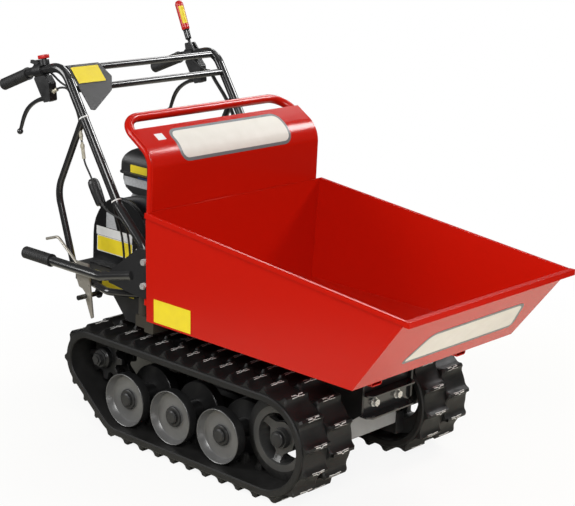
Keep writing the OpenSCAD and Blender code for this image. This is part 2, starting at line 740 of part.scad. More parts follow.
module idler(side) {
  r = idler_d / 2 - 1.2;
  b = axle_d / 2 + pin_fit;
  groove = r - guide_h - 6;
  ring = 69;
  hub = 34;
  h = idler_half;
  w = guide_w / 2 + 3;
  color(grey) difference() {
    turned([idler_x, idler_z], track_y, side)
      polygon([[b, -h + 2], [hub - 6, -h + 2], [hub, -h + 10], [hub + 4, 0], [ring - 3, 8], [ring, -h], [r - 3, -h], [r, -h + 3], [r, -w],
        [groove, -w], [groove, w], [r, w], [r, w + 6], [ring + 18, h], [ring, h], [ring - 3, h - 5], [hub + 12, h - 14], [hub - 6, h - 14],
        [hub - 9, h], [b, h]]);
    translate([idler_x, side * track_y, idler_z]) rotate([90, 0, 0]) translate([0, 0, -40]) linear_extrude(80)
      for (k = [0:spokes - 1]) rotate(360 / spokes * k + 82) polygon(soft(spoke_gap(hub + 10, ring - 2), 5));
  }
}

function spoke_gap(r0, r1) =
  let (a0 = 180 / spokes - asin(spoke_w / 2 / r0), a1 = 180 / spokes - asin(spoke_w / 2 / r1))
  concat([for (k = [-1:1]) r0 * [cos(a0 * k * 0.9), -sin(a0 * k * 0.9)]], [for (k = [-4:4]) r1 * [cos(a1 * k / 4), sin(a1 * k / 4)]]);

module idler_tensioners() {
  seat_z = beam_z[1] + 0.2;
  color(zinc) for (side = [-1, 1]) {
    y0 = side > 0 ? track_beam_y : -track_beam_out_y;
    y1 = y0 + track_beam_w;
    mid = (y0 + y1) / 2;
    slab_y(y0, y1) polygon(soft([[idler_x - 40, seat_z], [idler_x + 34, seat_z], [idler_x + 34, idler_z + 20],
      [idler_x + 22, idler_z + 32], [idler_x - 22, idler_z + 32], [idler_x - 40, idler_z + 20]], 3));
    translate([screw_lug_x - 20, mid, screw_z]) rotate([0, 90, 0]) cylinder(d = screw_d, h = idler_x - 38 - screw_lug_x + 20);
    translate([screw_lug_x + 8, mid, screw_z]) rotate([0, 90, 0]) hex(28, 12);
    turned([idler_x, idler_z], 0, side)
      polygon([[0, track_beam_out_y - 4], [8, track_beam_out_y - 4], [8, track_beam_out_y], [18, track_beam_out_y],
        [18, track_y - idler_half + 2 - run_gap],
        [axle_d / 2, track_y - idler_half + 2 - run_gap], [axle_d / 2, track_y + idler_half + run_gap],
        [20, track_y + idler_half + run_gap], [20, track_y + idler_half + 6], [16, track_y + idler_half + 9], [0, track_y + idler_half + 9]]);
  }
}

module track_ring(outer, inner) {
  difference() {
    polygon(outer);
    polygon(inner);
  }
}

module track(side) {
  y = side * track_y;
  half = track_w / 2;
  lug = half - edge_w;
  color(rubber) {
    slab_y(y - half, y - lug) track_ring(band(belt_t), band(0));
    slab_y(y - lug, y) track_ring(lug_outline(side < 0 ? 0 : 0.5), band(0));
    slab_y(y, y + lug) track_ring(lug_outline(side < 0 ? 0.5 : 0), band(0));
    slab_y(y + lug, y + half) track_ring(band(belt_t), band(0));
    slab_y(y - guide_w / 2, y + guide_w / 2) track_ring(band(6), guide_outline());
  }
}

function sprocket_outline() = let (tip = sprocket_d / 2 - 2.5, root = tip - 20, step = 360 / sprocket_teeth)
  [for (k = [0:sprocket_teeth - 1], p = [[-0.34, 0], [-0.14, 1], [0.14, 1], [0.34, 0]])
    (root + p[1] * (tip - root)) * [cos((k + p[0]) * step), sin((k + p[0]) * step)]];

sprocket_hub = [-60, 50];

module sprocket(side) {
  b = drive_axle_d / 2;
  w = guide_w / 2 + 4;
  color(black) {
    turned([sprocket_x, sprocket_z], track_y, side)
      polygon([[b, sprocket_hub[0]], [b + 15, sprocket_hub[0]], [b + 15, sprocket_hub[1] - 6], [b + 9, sprocket_hub[1]], [b, sprocket_hub[1]]]);
    for (s = [-1, 1])
      translate([sprocket_x, side * track_y + s * (w + 6), sprocket_z]) rotate([90, 0, 0]) translate([0, 0, -6]) linear_extrude(12)
        difference() {
          polygon(sprocket_outline());
          circle(b + 10);
        }
  }
}

module drive_axle(side) {
  b = drive_axle_d / 2;
  color(grey) {
    turned([sprocket_x, sprocket_z], 0, side)
      polygon([[0, 60], [b - 3, 60], [b - 3, chassis_y - 10], [b, chassis_y - 10], [b, track_y + sprocket_hub[1]],
        [b + 9, track_y + sprocket_hub[1]], [b + 9, track_y + sprocket_hub[1] + 3], [0, track_y + sprocket_hub[1] + 3]]);
    translate([sprocket_x, side * (track_y + sprocket_hub[1] + 3), sprocket_z]) rotate([-90 * side, 0, 0]) {
      cylinder(d = 20, h = 15);
      hex(36, 11);
    }
  }
}

// Drive

module gearbox() {
  b = drive_axle_d / 2 - 3 + pin_fit;
  body = [[input_x - 46, input_z + 30], [sprocket_x - 74, sprocket_z + 20], [sprocket_x - 74, sprocket_z - 40], [sprocket_x - 40, sprocket_z - 70],
    [sprocket_x + 40, sprocket_z - 70], [sprocket_x + 74, sprocket_z - 40], [sprocket_x + 74, sprocket_z + 20], [input_x + 46, input_z + 30],
    [input_x + 26, input_z + 46], [input_x - 26, input_z + 46]];
  wide = [for (p = body) p + 7 * unit(p - [sprocket_x, sprocket_z + 30])];
  color(silver) difference() {
    union() {
      slab_y(-72, 72) polygon(soft(body, 10));
      slab_y(-5, 5) polygon(soft(wide, 10));
      for (side = [-1, 1]) {
        pin_y([sprocket_x, sprocket_z], side > 0 ? 70 : -84, side > 0 ? 84 : -70, 74);
        for (p = [[-1, -1], [1, -1], [1, 0.3], [-1, 0.3]])
          pin_y([sprocket_x + p[0] * 56, sprocket_z + p[1] * 40], side > 0 ? 70 : -chassis_y, side > 0 ? chassis_y : -70, 24);
      }
      pin_y([input_x, input_z], -92, -70, 50);
    }
    pin_y([sprocket_x, sprocket_z], -90, 90, 2 * b);
    pin_y([input_x, input_z], -100, -40, shaft_d + 2 * pin_fit);
  }
}

// A pulley with its shaft; the shaft runs inwards from the pulley's inner face
module pulley(at, d, shaft_to) {
  r = d / 2;
  h = pulley_w / 2;
  g = belt_w / 2 + 0.6;
  color(grey) turned(at, -belt_y, -1)
    polygon([[0, -shaft_to], [shaft_d / 2, -shaft_to], [shaft_d / 2, -h], [r - 3, -h], [r, -h + 3], [r, -g], [r - belt_depth - 0.6, -g],
      [r - belt_depth - 0.6, g], [r, g], [r, h - 3], [r - 3, h], [r - 10, h], [r - 14, h - 6], [20, h - 6], [16, h], [0, h]]);
}

module gearbox_pulley() {
  pulley([input_x, input_z], gearbox_pulley_d, -belt_y - 42);
}

module engine_pulley() {
  pulley([crank_x, crank_z], engine_pulley_d, -belt_y - 62);
}

// Outline of a belt laid round both pulleys at the given depth below their rims
function belt_outline(depth, n = 24) =
  let (
    a = [crank_x, crank_z, engine_pulley_d / 2 - depth], b = [input_x, input_z, gearbox_pulley_d / 2 - depth],
    left = facing(b, a), right = below(facing(a, b), left)
  )
  [for (k = [0:n]) let (t = left + (right - left) * k / n) [a[0] + a[2] * cos(t), a[1] + a[2] * sin(t)],
   for (k = [0:n]) let (t = right + (left - 360 - right) * k / n) [b[0] + b[2] * cos(t), b[1] + b[2] * sin(t)]];

module drive_belt() {
  color(rubber) slab_y(belt_y - belt_w / 2, belt_y + belt_w / 2) difference() {
    polygon(belt_outline(0));
    polygon(belt_outline(belt_depth));
  }
}

module tension_arm() {
  end = arm_pivot + arm_l * [sin(arm_lean), cos(arm_lean)];
  color(zinc) {
    difference() {
      slab_y(belt_y + 13, belt_y + 19) {
        polygon([arm_pivot + [-9, 0], arm_pivot + [9, 0], end + [8, 0], end + [-8, 0]]);
        translate(arm_pivot) circle(11);
        translate(end) circle(10);
      }
      pin_y(arm_pivot, -200, 0, 12 + 2 * pin_fit);
    }
    pin_y(end, belt_y - 9, belt_y + 14, 12);
    pin_y(end, belt_y - 9, belt_y + 9, 34);
    for (y = [-11, 9]) pin_y(end, belt_y + y, belt_y + y + 2, 40);
  }
}

// Deck

stay_foot_x = stay_path[2][0];

module engine_deck() {
  half = deck_w / 2;
  skirt = 34;
  color(black) {
    difference() {
      union() {
        slab_z(deck_z, deck_top_z) {
          polygon(soft(box_pts(deck_rear_x, -half, deck_front_x, half), 18));
          for (side = [-1, 1]) polygon(soft(box_pts(stay_foot_x - 34, side * (half - 30), stay_foot_x + 34, side * (bar_y + 16)), 8));
        }
        for (side = [-1, 1]) slab_y(side > 0 ? half - 12 : -half + 6, side > 0 ? half - 6 : 12 - half)
          polygon(soft([[deck_rear_x + 30, deck_z + 2], [deck_rear_x + 30, deck_z - skirt], [-330, deck_z - skirt], [-262, chassis_top_z - 14],
            [deck_front_x - 8, chassis_top_z - 14], [deck_front_x - 8, deck_z + 2]], 1.5, 1));
        for (side = [-1, 1]) translate([gear_pivot[0], gear_y + side * 9.5, 0]) slab_y(-2, 2)
          polygon(soft([[-12, deck_top_z - 1], [12, deck_top_z - 1], [8, gear_pivot[1] + 10], [-8, gear_pivot[1] + 10]], 3));
        pin_y(gear_pivot, gear_y - 11.5, gear_y + 11.5, 10);
      }
      slab_z(deck_z - 1, deck_top_z + 1)
        polygon(soft(box_pts(crank_x - 70, belt_y - 18, input_x + gearbox_pulley_d / 2 + 12, belt_y + 18), 8));
      for (side = [-1, 1]) pin_y(striker_at, side > 0 ? 0 : -400, side > 0 ? 400 : 0, striker_d);
    }
  }
}

// Pin that the tub's latch hooks, with the bent tube that shields it
module latch_striker() {
  y0 = -deck_w / 2 + 6;
  z = 412;
  color(black) {
    pin_y(striker_at, handle_y - 12, -deck_w / 2 + 14, striker_d);
    pin_y(striker_at, y0 - 4, y0, striker_d + 14);
    difference() {
      bent_tube([[-182, y0 + 10, z], [-282, handle_y + 14, z], [-395, handle_y + 44, z], [-438, y0 + 10, z]], 20, 30);
      slab_z(z - 20, z + 20) polygon(box_pts(-600, y0, 0, y0 + 60));
    }
  }
}

module belt_guard() {
  x0 = crank_x - belt_guard_w / 2;
  x1 = crank_x + belt_guard_w / 2;
  z0 = deck_top_z;
  z1 = deck_top_z + belt_guard_h;
  t = cover_t;
  color(black) {
    difference() {
      slab_y(guard_y[0], guard_y[1]) polygon(arch(x0, x1, z0, z1));
      slab_y(guard_y[0] + t, guard_y[1] + 1) polygon(arch(x0 + t, x1 - t, z0 - 1, z1 - t));
    }
    difference() {
      slab_y(guard_y[0] + 6, guard_y[0] + 10) polygon(arch(x0 - 5, x1 + 5, z0, z1 + 5));
      slab_y(guard_y[0] - 1, guard_y[1]) polygon(arch(x0 + 1, x1 - 1, z0 - 1, z1 - 1));
    }
    slab_z(z0, z0 + 3) polygon(soft(box_pts(x0 + 8, guard_y[0] - 20, x1 - 8, guard_y[0] + 1), 0.8, 1));
  }
}

// Engine

block_x = [crank_x - 92, crank_x + 98];
head_x = crank_x + 140;

module engine_block() {
  z0 = deck_top_z;
  color(grey) difference() {
    union() {
      slab_y(block_y[0], block_y[1]) polygon(soft([[block_x[0], z0], [block_x[1], z0], [block_x[1], z0 + 40], [block_x[1] + 12, z0 + 70],
        [block_x[1], z0 + 160], [block_x[1] - 34, tank_z - 62], [block_x[0] + 30, tank_z - 62], [block_x[0], z0 + 150], [block_x[0] - 10, z0 + 80]], 9));
      pin_y([crank_x, crank_z], block_y[0] - 6, block_y[0] + 2, 90);
      slab_z(z0, z0 + 12) polygon(soft(box_pts(block_x[0] - 14, block_y[0] + 4, block_x[1] + 14, block_y[1] - 4), 8));
      slab_x(block_x[1] - 33.7, head_x) polygon(soft(box_pts(-62, z0 + 152, 72, tank_z - 34), 10));
      for (k = [0:6]) slab_x(block_x[1] + 6 + k * 5.5, block_x[1] + 8.5 + k * 5.5) polygon(soft(box_pts(-76, z0 + 140, 86, tank_z - 24), 12));
    }
    pin_y([crank_x, crank_z], block_y[0] - 10, -50, shaft_d + 2 * pin_fit);
  }
}

module engine_shroud() {
  z0 = tank_z - 62;
  z1 = tank_z - 3;
  x0 = crank_x - 97;
  x1 = block_x[1] - 34;
  color(silver) slab_y(block_y[0] - 6, block_y[1] - 0.5)
    polygon(soft([[x0, z1], [x0, z1 - 22], [x0 + 12, z0 + 14], [x0 + 40, z0], [x1, z0], [x1, z1]], 5));
}

tank_x = [-464, -236];
tank_y = [-128, 128];
cap_at = [-346, 20];
cap_d = 58;
tank_h = 72;

// Outline with both upper corners rounded
module dome(a, b, z0, z1, r) {
  polygon([[a, z0], [b, z0], for (k = [0:8]) [b - r + r * cos(90 * k / 8), z1 - r + r * sin(90 * k / 8)],
    for (k = [0:8]) [a + r - r * sin(90 * k / 8), z1 - r + r * cos(90 * k / 8)]]);
}

module fuel_tank() {
  z1 = tank_z + tank_h;
  color(black) {
    intersection() {
      slab_y(tank_y[0] + 8, tank_y[1] - 8) dome(tank_x[0] + 8, tank_x[1] - 8, tank_z + 2, z1, 52);
      slab_x(tank_x[0], tank_x[1]) dome(tank_y[0] + 8, tank_y[1] - 8, tank_z + 2, z1, 46);
    }
    slab_z(tank_z - 3, tank_z + 2.5) polygon(soft([for (p = [[tank_x[0], tank_y[0]], [tank_x[1], tank_y[0]],
      [tank_x[1], tank_y[1]], [tank_x[0], tank_y[1]]]) p], 20));
    translate([cap_at[0], cap_at[1], z1 - 6]) cylinder(d = cap_d - 16, h = 10);
  }
}

module fuel_cap() {
  z0 = tank_z + tank_h + 4 + 0.3;
  teeth = 20;
  color(black) translate([cap_at[0], cap_at[1], z0]) {
    linear_extrude(16) polygon([for (k = [0:4 * teeth - 1]) let (r = cap_d / 2 - (k % 4 < 2 ? 0 : 2)) r * [cos(90 * k / teeth), sin(90 * k / teeth)]]);
    translate([0, 0, 16]) cylinder(d1 = cap_d - 6, d2 = cap_d - 18, h = 5);
  }
}

module air_cleaner() {
  z0 = tank_z - 92;
  color(black) {
    slab_z(z0, z0 + 82) polygon(soft(box_pts(head_x + 0.1, 14, head_x + 62, 108), 16));
    slab_z(z0 + 40, z0 + 46) polygon(soft(box_pts(head_x + 0.1, 10, head_x + 66, 112), 18));
    slab_z(z0 + 82, z0 + 90) polygon(soft(box_pts(head_x + 10, 24, head_x + 52, 98), 12));
  }
}

module muffler() {
  z0 = tank_z - 96;
  color(silver) {
    difference() {
      slab_x(head_x + 0.1, head_x + 58) polygon(soft(box_pts(-104, z0, -2, z0 + 78), 14));
      for (k = [0:4]) slab_x(head_x + 54, head_x + 60) polygon(box_pts(-88, z0 + 12 + k * 12, -18, z0 + 18 + k * 12));
    }
    slab_x(head_x + 24, head_x + 28) difference() {
      polygon(soft(box_pts(-107, z0 - 3, 1, z0 + 81), 15));
      polygon(soft(box_pts(-100, z0 + 4, -6, z0 + 74), 10));
    }
    difference() {
      pin_y([head_x + 42, z0 + 38], -120, -102, 20);
      pin_y([head_x + 42, z0 + 38], -122, -108, 15);
    }
  }
}

module recoil_starter() {
  slots = 14;
  y0 = block_y[1];
  color(black) {
    difference() {
      turned([crank_x, crank_z], 0, 1)
        polygon([[0, y0], [94, y0], [94, y0 + 28], [84, y0 + 46], [50, y0 + 52], [46, y0 + 60], [0, y0 + 62]]);
      translate([crank_x, y0 + 70, crank_z]) rotate([90, 0, 0]) linear_extrude(36)
        for (k = [0:slots - 1]) rotate(360 / slots * k) polygon(box_pts(56, -4, 78, 4));
    }
    translate([crank_x, y0 + 24, crank_z]) rotate([0, 60, 0]) {
      translate([0, 0, 86]) cylinder(d = 18, h = 22);
      translate([0, -22, 112]) rotate([-90, 0, 0]) cylinder(d = 15, h = 44);
    }
  }
}

// Handlebars

function bar_x(z) = let (a = bar_path[2], b = bar_path[3]) a[0] + (b[0] - a[0]) * (z - a[1]) / (b[1] - a[1]);

module handlebar(side) {
  color(black) bent_tube(lift(bar_path, side * bar_y), bar_d, bar_bend);
}

// Where the handlebar's top bend passes closest to its corner
bar_in = unit(bar_path[3] - bar_path[2]);
bar_out = unit(bar_path[4] - bar_path[3]);
top_turn = acos(bar_in * bar_out);
top_bar = bar_path[3] + unit(bar_out - bar_in) * bar_bend * (1 / cos(top_turn / 2) - 1);
low_bar = [bar_x(bar_top_z - 60), bar_top_z - 60];

module cross_bars() {
  l = bar_y - bar_d / 2;
  color(black) for (p = [top_bar, low_bar]) pin_y(p, -l, l, cross_bar_d);
}

module handlebar_stays() {
  a = bar_path[2];
  b = bar_path[3];
  color(black) for (side = [-1, 1]) difference() {
    bent_tube(lift([stay_path[0], stay_path[1], stay_path[2] + 8 * unit(stay_path[2] - stay_path[1])], side * bar_y), stay_d, 90);
    rod([a[0], side * bar_y, a[1]], [b[0], side * bar_y, b[1]], bar_d);
    slab_z(deck_z - 20, deck_top_z) polygon(box_pts(stay_foot_x - 40, side * bar_y - 40, stay_foot_x + 40, side * bar_y + 40));
  }
}

module control_panel() {
  down = unit(low_bar - top_bar);
  left = -bar_y + bar_d / 2 + 1;
  right = left + 135;
  t = 2.5;
  r = cross_bar_d / 2 + 0.1;
  roll = [for (k = [0:10]) let (a = 8 * k) [cos(a), sin(a)]];
  color(black) translate([top_bar[0], 0, top_bar[1]]) rotate([0, acos(down[0]) - 90, 0]) intersection() {
    slab_y(left, right) polygon(concat([[r, -150], [r + t, -150]], [for (d = roll) (r + t) * d], [for (k = [10:-1:0]) r * roll[k]]));
    multmatrix([[0, 0, 1, -20], [1, 0, 0, 0], [0, -1, 0, 0], [0, 0, 0, 1]]) linear_extrude(60)
      polygon(soft([[left - 4, -30], [right - 19, -30], [right - 19, 0], [right, 42], [right - 27, 87], [left + 14, 143], [left - 4, 138]], 8));
  }
}

grip_dir = unit(bar_path[5] - bar_path[4]);

module handlebar_grips() {
  root = bar_path[5] - (grip_l - 5) * grip_dir;
  for (side = [-1, 1]) translate([root[0], side * bar_y, root[1]])
    rotate([0, -90 - atan2(-grip_dir[1], -grip_dir[0]), 0]) ribbed_grip(grip_l, grip_d, bar_d + 0.2);
}

module at_perch(side) {
  translate([perch_at[0], side * bar_y, perch_at[1]]) rotate([0, perch_turn, 0]) children();
}

cheek_in = 5.2;
cheek_out = 13;
lever_pin_d = 8;
lever_d = 9;
drive_lean = -9.9;
switch_at = [20, 31];
button_d = 16;

module lever_perches() {
  color(black) for (side = [-1, 1]) at_perch(side) {
    difference() {
      union() {
        translate([-17, 0, 0]) rotate([0, 90, 0]) cylinder(d = bar_d + 13, h = 34);
        slab_y(-cheek_out, cheek_out) polygon(soft([[-22, -16], [26, -16], [40, -40], [34, -88], [6, -90], [-6, -60]], 5));
        if (side < 0) {
          translate([switch_at[0], 0, 12]) cylinder(d = 28, h = switch_at[1] - 12 - 4);
          slab_y(-9, 9) polygon(soft([[throttle_pivot[0] - 9, 8], [throttle_pivot[0] + 14, 8], [throttle_pivot[0] + 9, throttle_pivot[1] + 9],
            [throttle_pivot[0] - 9, throttle_pivot[1] + 9]], 3));
        }
        else slab_y(-12, 12) polygon(soft([[drive_pivot[0] - 12, 6], [drive_pivot[0] + 26, 6], [drive_pivot[0] + 10, drive_pivot[1] + 11],
          [drive_pivot[0] - 12, drive_pivot[1] + 11]], 4));
      }
      translate([-60, 0, 0]) rotate([0, 90, 0]) cylinder(d = bar_d + 2 * pin_fit, h = 120);
      slab_y(-cheek_in, cheek_in) polygon([[-40, -100], [24, -100], [29, -64], [12, -58], [-40, -48]]);
      if (side < 0) {
        translate([switch_at[0], 0, switch_at[1] - 12]) cylinder(d = button_d + 4 * pin_fit, h = 20);
        slab_y(-4.4, 4.4) translate([throttle_pivot[0] - 30, bar_d / 2 + 1]) square([40, 40]);
      }
      else slab_y(-5.4, 5.4) translate([drive_pivot[0] - 40, bar_d / 2 + 1]) square([80, 40]);
    }
    pin_y(lever_pivot, -cheek_out, cheek_out, lever_pin_d);
    if (side < 0) pin_y(throttle_pivot, -9, 9, 6);
    else pin_y(drive_pivot, -12, 12, 8);
  }
}

module steering_lever(side) {
  p = lever_pivot;
  path = [[p[0] - 6, 0, p[1] - 0.7], [-40, 0, -82], [-106, 0, -130], [-128, 0, -154]];
  tip = [-136, 0, -163];
  color(black) at_perch(side) {
    difference() {
      union() {
        bent_tube(path, lever_d, 60);
        pin_y(p, 0.4 - cheek_in, cheek_in - 0.4, 20);
      }
      pin_y(p, -20, 20, lever_pin_d + 2 * pin_fit);
    }
    along(path[3], tip) rotate_extrude()
      polygon([[0, -2], [lever_d / 2 + 0.4, -2], [8, 3], [9, 8], [8, 13], [4, 16.5], [0, 17]]);
  }
}

module throttle_lever() {
  p = throttle_pivot;
  color(black) at_perch(-1) difference() {
    slab_y(-3.8, 3.8) {
      translate(p) circle(6.4);
      polygon(soft([p + [-1, -5.5], p + [-1, 5.5], p + [-25, 13], p + [-29, 4]], 2));
    }
    pin_y(p, -20, 20, 6 + 2 * pin_fit);
  }
}

module stop_button() {
  color(red) at_perch(-1) translate([switch_at[0], 0, switch_at[1] - 6]) {
    cylinder(d = button_d, h = 10);
    translate([0, 0, 5]) cylinder(d1 = button_d + 6, d2 = button_d + 4, h = 7);
  }
}

module drive_lever() {
  p = drive_pivot;
  l = 143;
  color(red) at_perch(1) difference() {
    union() {
      translate([p[0], 0, p[1]]) rotate([0, drive_lean, 0]) rotate_extrude()
        polygon([[0, 0], [4.5, 0], [4.5, 20], [9, 22], [9.5, 50], [12, 54], [12.5, l - 10], [9.5, l - 2.5], [4, l], [0, l]]);
      pin_y(p, -5, 5, 20);
    }
    pin_y(p, -20, 20, 8 + 2 * pin_fit);
  }
}

module gear_lever() {
  p = gear_pivot;
  y = gear_y;
  foot = [p[0], y, p[1]];
  tip = [p[0] - 114, y, p[1] + 186];
  l = norm(tip - foot);
  color(black) difference() {
    union() {
      along(foot, tip) rotate_extrude()
        polygon([[0, 0], [5.5, 0], [5.5, l - 84], [13, l - 82], [15, l - 78], [17, l - 40], [17, l - 16], [15, l - 7], [10, l - 1], [6, l], [0, l]]);
      pin_y(p, y - 7, y + 7, 20);
    }
    pin_y(p, -200, 0, 10 + 2 * pin_fit);
  }
}

// Control cables: down the inner rear of each handlebar, then to the deck

bar_normal = [bar_in[1], -bar_in[0]];
cable_back = -(cross_bar_d + cable_d) / 2 - 1;
cable_in = stay_d / 2 + cable_d / 2 + run_gap;
function beside_bar(z, side, y) = [bar_x(z) + cable_back * bar_normal[0], side * y, z + cable_back * bar_normal[1]];
function cable_route(side, y) = [[-503, side * y, bar_top_z - 64], [-480, side * y, bar_top_z - 88], for (z = [866, 800, 730, 690]) beside_bar(z, side, y)];
function tail_route(side, y, x) = [[-312, side * (y - 8), 628], [-304 + x, side * (y - 32), 570], [-302 + x, side * (y - 44), 500],
  [-302 + x, side * (y - 46), deck_top_z]];
function lever_start(side) = [[-546.6, side * bar_y, bar_top_z - 77], [-528, side * (bar_y - 6), bar_top_z - 64]];
function upper_start(side) = let (y = bar_y - (bar_d + 13) / 2 - cable_d / 2 - 0.3)
  [[-598, side * y, bar_top_z - 26], [-574, side * y, bar_top_z - 36], [-542, side * (y + 1), bar_top_z - 52]];

module control_cables() {
  r = cable_d / 2;
  first = bar_y - cable_in;
  next = first - cable_d - 2;
  color(black) for (side = [-1, 1]) {
    sweep(smooth(concat(lever_start(side), cable_route(side, first), tail_route(side, first, -8)), 3), r);
    sweep(smooth(concat(upper_start(side), cable_route(side, next), tail_route(side, next, 8)), 3), r);
  }
}

tub_shell();
back_guard();
guard_hoop();
tub_underframe();
tipping_handle();
tipping_grip();
handle_bolts();
latch_lever();
chassis_frame();
front_channel();
chassis_fasteners();
tub_rest_beam();
cross_beams();
track_beam(-1);  // track_beam_right
track_beam(1);  // track_beam_left
roller_axles();
idler_tensioners();
track(-1);  // track_right
track(1);  // track_left
roller(-1, 1);  // roller_right_1
roller(-1, 2);  // roller_right_2
roller(-1, 3);  // roller_right_3
roller(1, 1);  // roller_left_1
roller(1, 2);  // roller_left_2
roller(1, 3);  // roller_left_3
idler(-1);  // idler_right
idler(1);  // idler_left
sprocket(-1);  // sprocket_right
sprocket(1);  // sprocket_left
drive_axle(-1);  // drive_axle_right
drive_axle(1);  // drive_axle_left
gearbox();
gearbox_pulley();
engine_pulley();
drive_belt();
tension_arm();
engine_deck();
latch_striker();
belt_guard();
engine_block();
engine_shroud();
fuel_tank();
fuel_cap();
air_cleaner();
muffler();
recoil_starter();
handlebar(-1);  // handlebar_right
handlebar(1);  // handlebar_left
cross_bars();
handlebar_stays();
control_panel();
handlebar_grips();
lever_perches();
steering_lever(-1);  // steering_lever_right
steering_lever(1);  // steering_lever_left
throttle_lever();
stop_button();
drive_lever();
gear_lever();
control_cables();
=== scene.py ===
import json
import math
import bmesh
import bpy
from mathutils import Matrix, Vector


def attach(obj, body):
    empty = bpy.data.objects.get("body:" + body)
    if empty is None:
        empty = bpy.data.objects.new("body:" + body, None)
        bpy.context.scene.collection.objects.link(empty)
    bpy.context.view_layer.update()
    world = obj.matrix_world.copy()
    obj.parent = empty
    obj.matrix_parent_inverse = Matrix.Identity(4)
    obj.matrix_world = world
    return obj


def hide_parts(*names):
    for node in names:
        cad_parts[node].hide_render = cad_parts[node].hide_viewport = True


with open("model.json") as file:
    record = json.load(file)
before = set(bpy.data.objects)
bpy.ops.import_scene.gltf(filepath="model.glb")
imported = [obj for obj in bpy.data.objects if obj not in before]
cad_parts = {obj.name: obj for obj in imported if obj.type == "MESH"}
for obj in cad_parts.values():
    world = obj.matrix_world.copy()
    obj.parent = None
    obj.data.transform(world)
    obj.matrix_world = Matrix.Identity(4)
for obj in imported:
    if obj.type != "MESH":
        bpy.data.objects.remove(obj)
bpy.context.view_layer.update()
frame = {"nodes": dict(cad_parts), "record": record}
scene = bpy.context.scene
scene.view_settings.view_transform = "Standard"
cadNodes = frame["nodes"]
bodyOf = {node: body for body, held in frame["record"]["behaviour"]["bodies"].items() for node in held}
print("frame loaded:", len(cadNodes), "nodes")

# camera at the photograph's viewing angle
shot = {"place": (2.865738, -3.205792, 1.694830), "azimuth": 40.976, "elevation": 15.156, "roll": 2.752, "lens": 101.46}


def aimCamera(shot):
    azimuth, elevation, roll = (math.radians(shot[key]) for key in ("azimuth", "elevation", "roll"))
    look = Vector((-math.sin(azimuth) * math.cos(elevation), math.cos(azimuth) * math.cos(elevation),
                   -math.sin(elevation)))
    right = Vector((math.cos(azimuth), math.sin(azimuth), 0))
    up = right.cross(look)
    across = right * math.cos(roll) + up * math.sin(roll)
    above = up * math.cos(roll) - right * math.sin(roll)
    data = bpy.data.cameras.new("photoCamera")
    data.sensor_fit = "HORIZONTAL"
    data.sensor_width = 36
    data.lens = shot["lens"]
    camera = bpy.data.objects.new("photoCamera", data)
    camera.matrix_world = Matrix.Translation(shot["place"]) @ Matrix((across, above, -look)).transposed().to_4x4()
    scene.collection.objects.link(camera)
    scene.camera = camera


aimCamera(shot)
print("camera set")

# studio: pale ground, soft boxes and an even sky; the ground's distances are from the paper's middle, in metres
studio = {
    "floor": {"half": 30, "paper": (0.8, 0.775, 0.66), "beyond": (0.06, 0.06, 0.06), "paperMiddle": (0.25, 0.3, 0),
              "paperEdge": (1.25, 1.95), "white": (0.9, 1.7), "least": 0.9},
    "sky": 0.1,
    "boxes": [
        {"name": "keyBox", "place": (2.5, -2.9, 2.9), "target": (0, 0, 0.45), "size": (2.2, 1.8), "power": 130},
        {"name": "nearBox", "place": (-2.4, -3.3, 2.0), "target": (-0.2, 0, 0.5), "size": (1.8, 2.4), "power": 108},
        {"name": "farBox", "place": (0.9, 2.4, 2.7), "target": (-0.1, 0, 0.6), "size": (1.0, 0.8), "power": 56},
        {"name": "topBox", "place": (0.3, 0.4, 4.0), "target": (0, 0, 0.5), "size": (2.6, 2.0), "power": 14},
        {"name": "backBox", "place": (-1.7, 2.95, 3.0), "target": (0, 0, 0.5), "size": (1.8, 0.9), "power": 42},
        {"name": "frontBox", "place": (1.75, -0.2, 0.16), "target": (0.6, 0, 0.42), "size": (1.1, 0.3), "power": 7},
    ],
}


def addSoftBox(spec):
    lamp = bpy.data.lights.new(spec["name"], "AREA")
    lamp.shape = "RECTANGLE"
    lamp.size, lamp.size_y = spec["size"]
    lamp.energy = spec["power"]
    holder = bpy.data.objects.new(spec["name"], lamp)
    holder.location = spec["place"]
    holder.rotation_euler = (Vector(spec["target"]) - Vector(spec["place"])).to_track_quat("-Z", "Y").to_euler()
    scene.collection.objects.link(holder)


def mixColours(tree, mask, first, second):
    mix = tree.nodes.new("ShaderNodeMix")
    mix.data_type = "RGBA"
    tree.links.new(mask, mix.inputs["Factor"])
    for socket, colour in ((mix.inputs[6], first), (mix.inputs[7], second)):
        if isinstance(colour, tuple):
            socket.default_value = (*colour, 1)
        else:
            tree.links.new(colour, socket)
    return mix.outputs[2]


def setSky(strength):
    world = bpy.data.worlds.new("studioSky")
    scene.world = world
    world.use_nodes = True
    tree = world.node_tree
    tree.nodes.clear()
    path = tree.nodes.new("ShaderNodeLightPath")
    level = tree.nodes.new("ShaderNodeMapRange")  # full white to the camera, weaker as light
    level.inputs["To Min"].default_value = strength
    tree.links.new(path.outputs["Is Camera Ray"], level.inputs["Value"])
    sky = tree.nodes.new("ShaderNodeBackground")
    sky.inputs["Color"].default_value = (1, 1, 1, 1)
    tree.links.new(level.outputs["Result"], sky.inputs["Strength"])
    out = tree.nodes.new("ShaderNodeOutputWorld")
    tree.links.new(sky.outputs[0], out.inputs["Surface"])


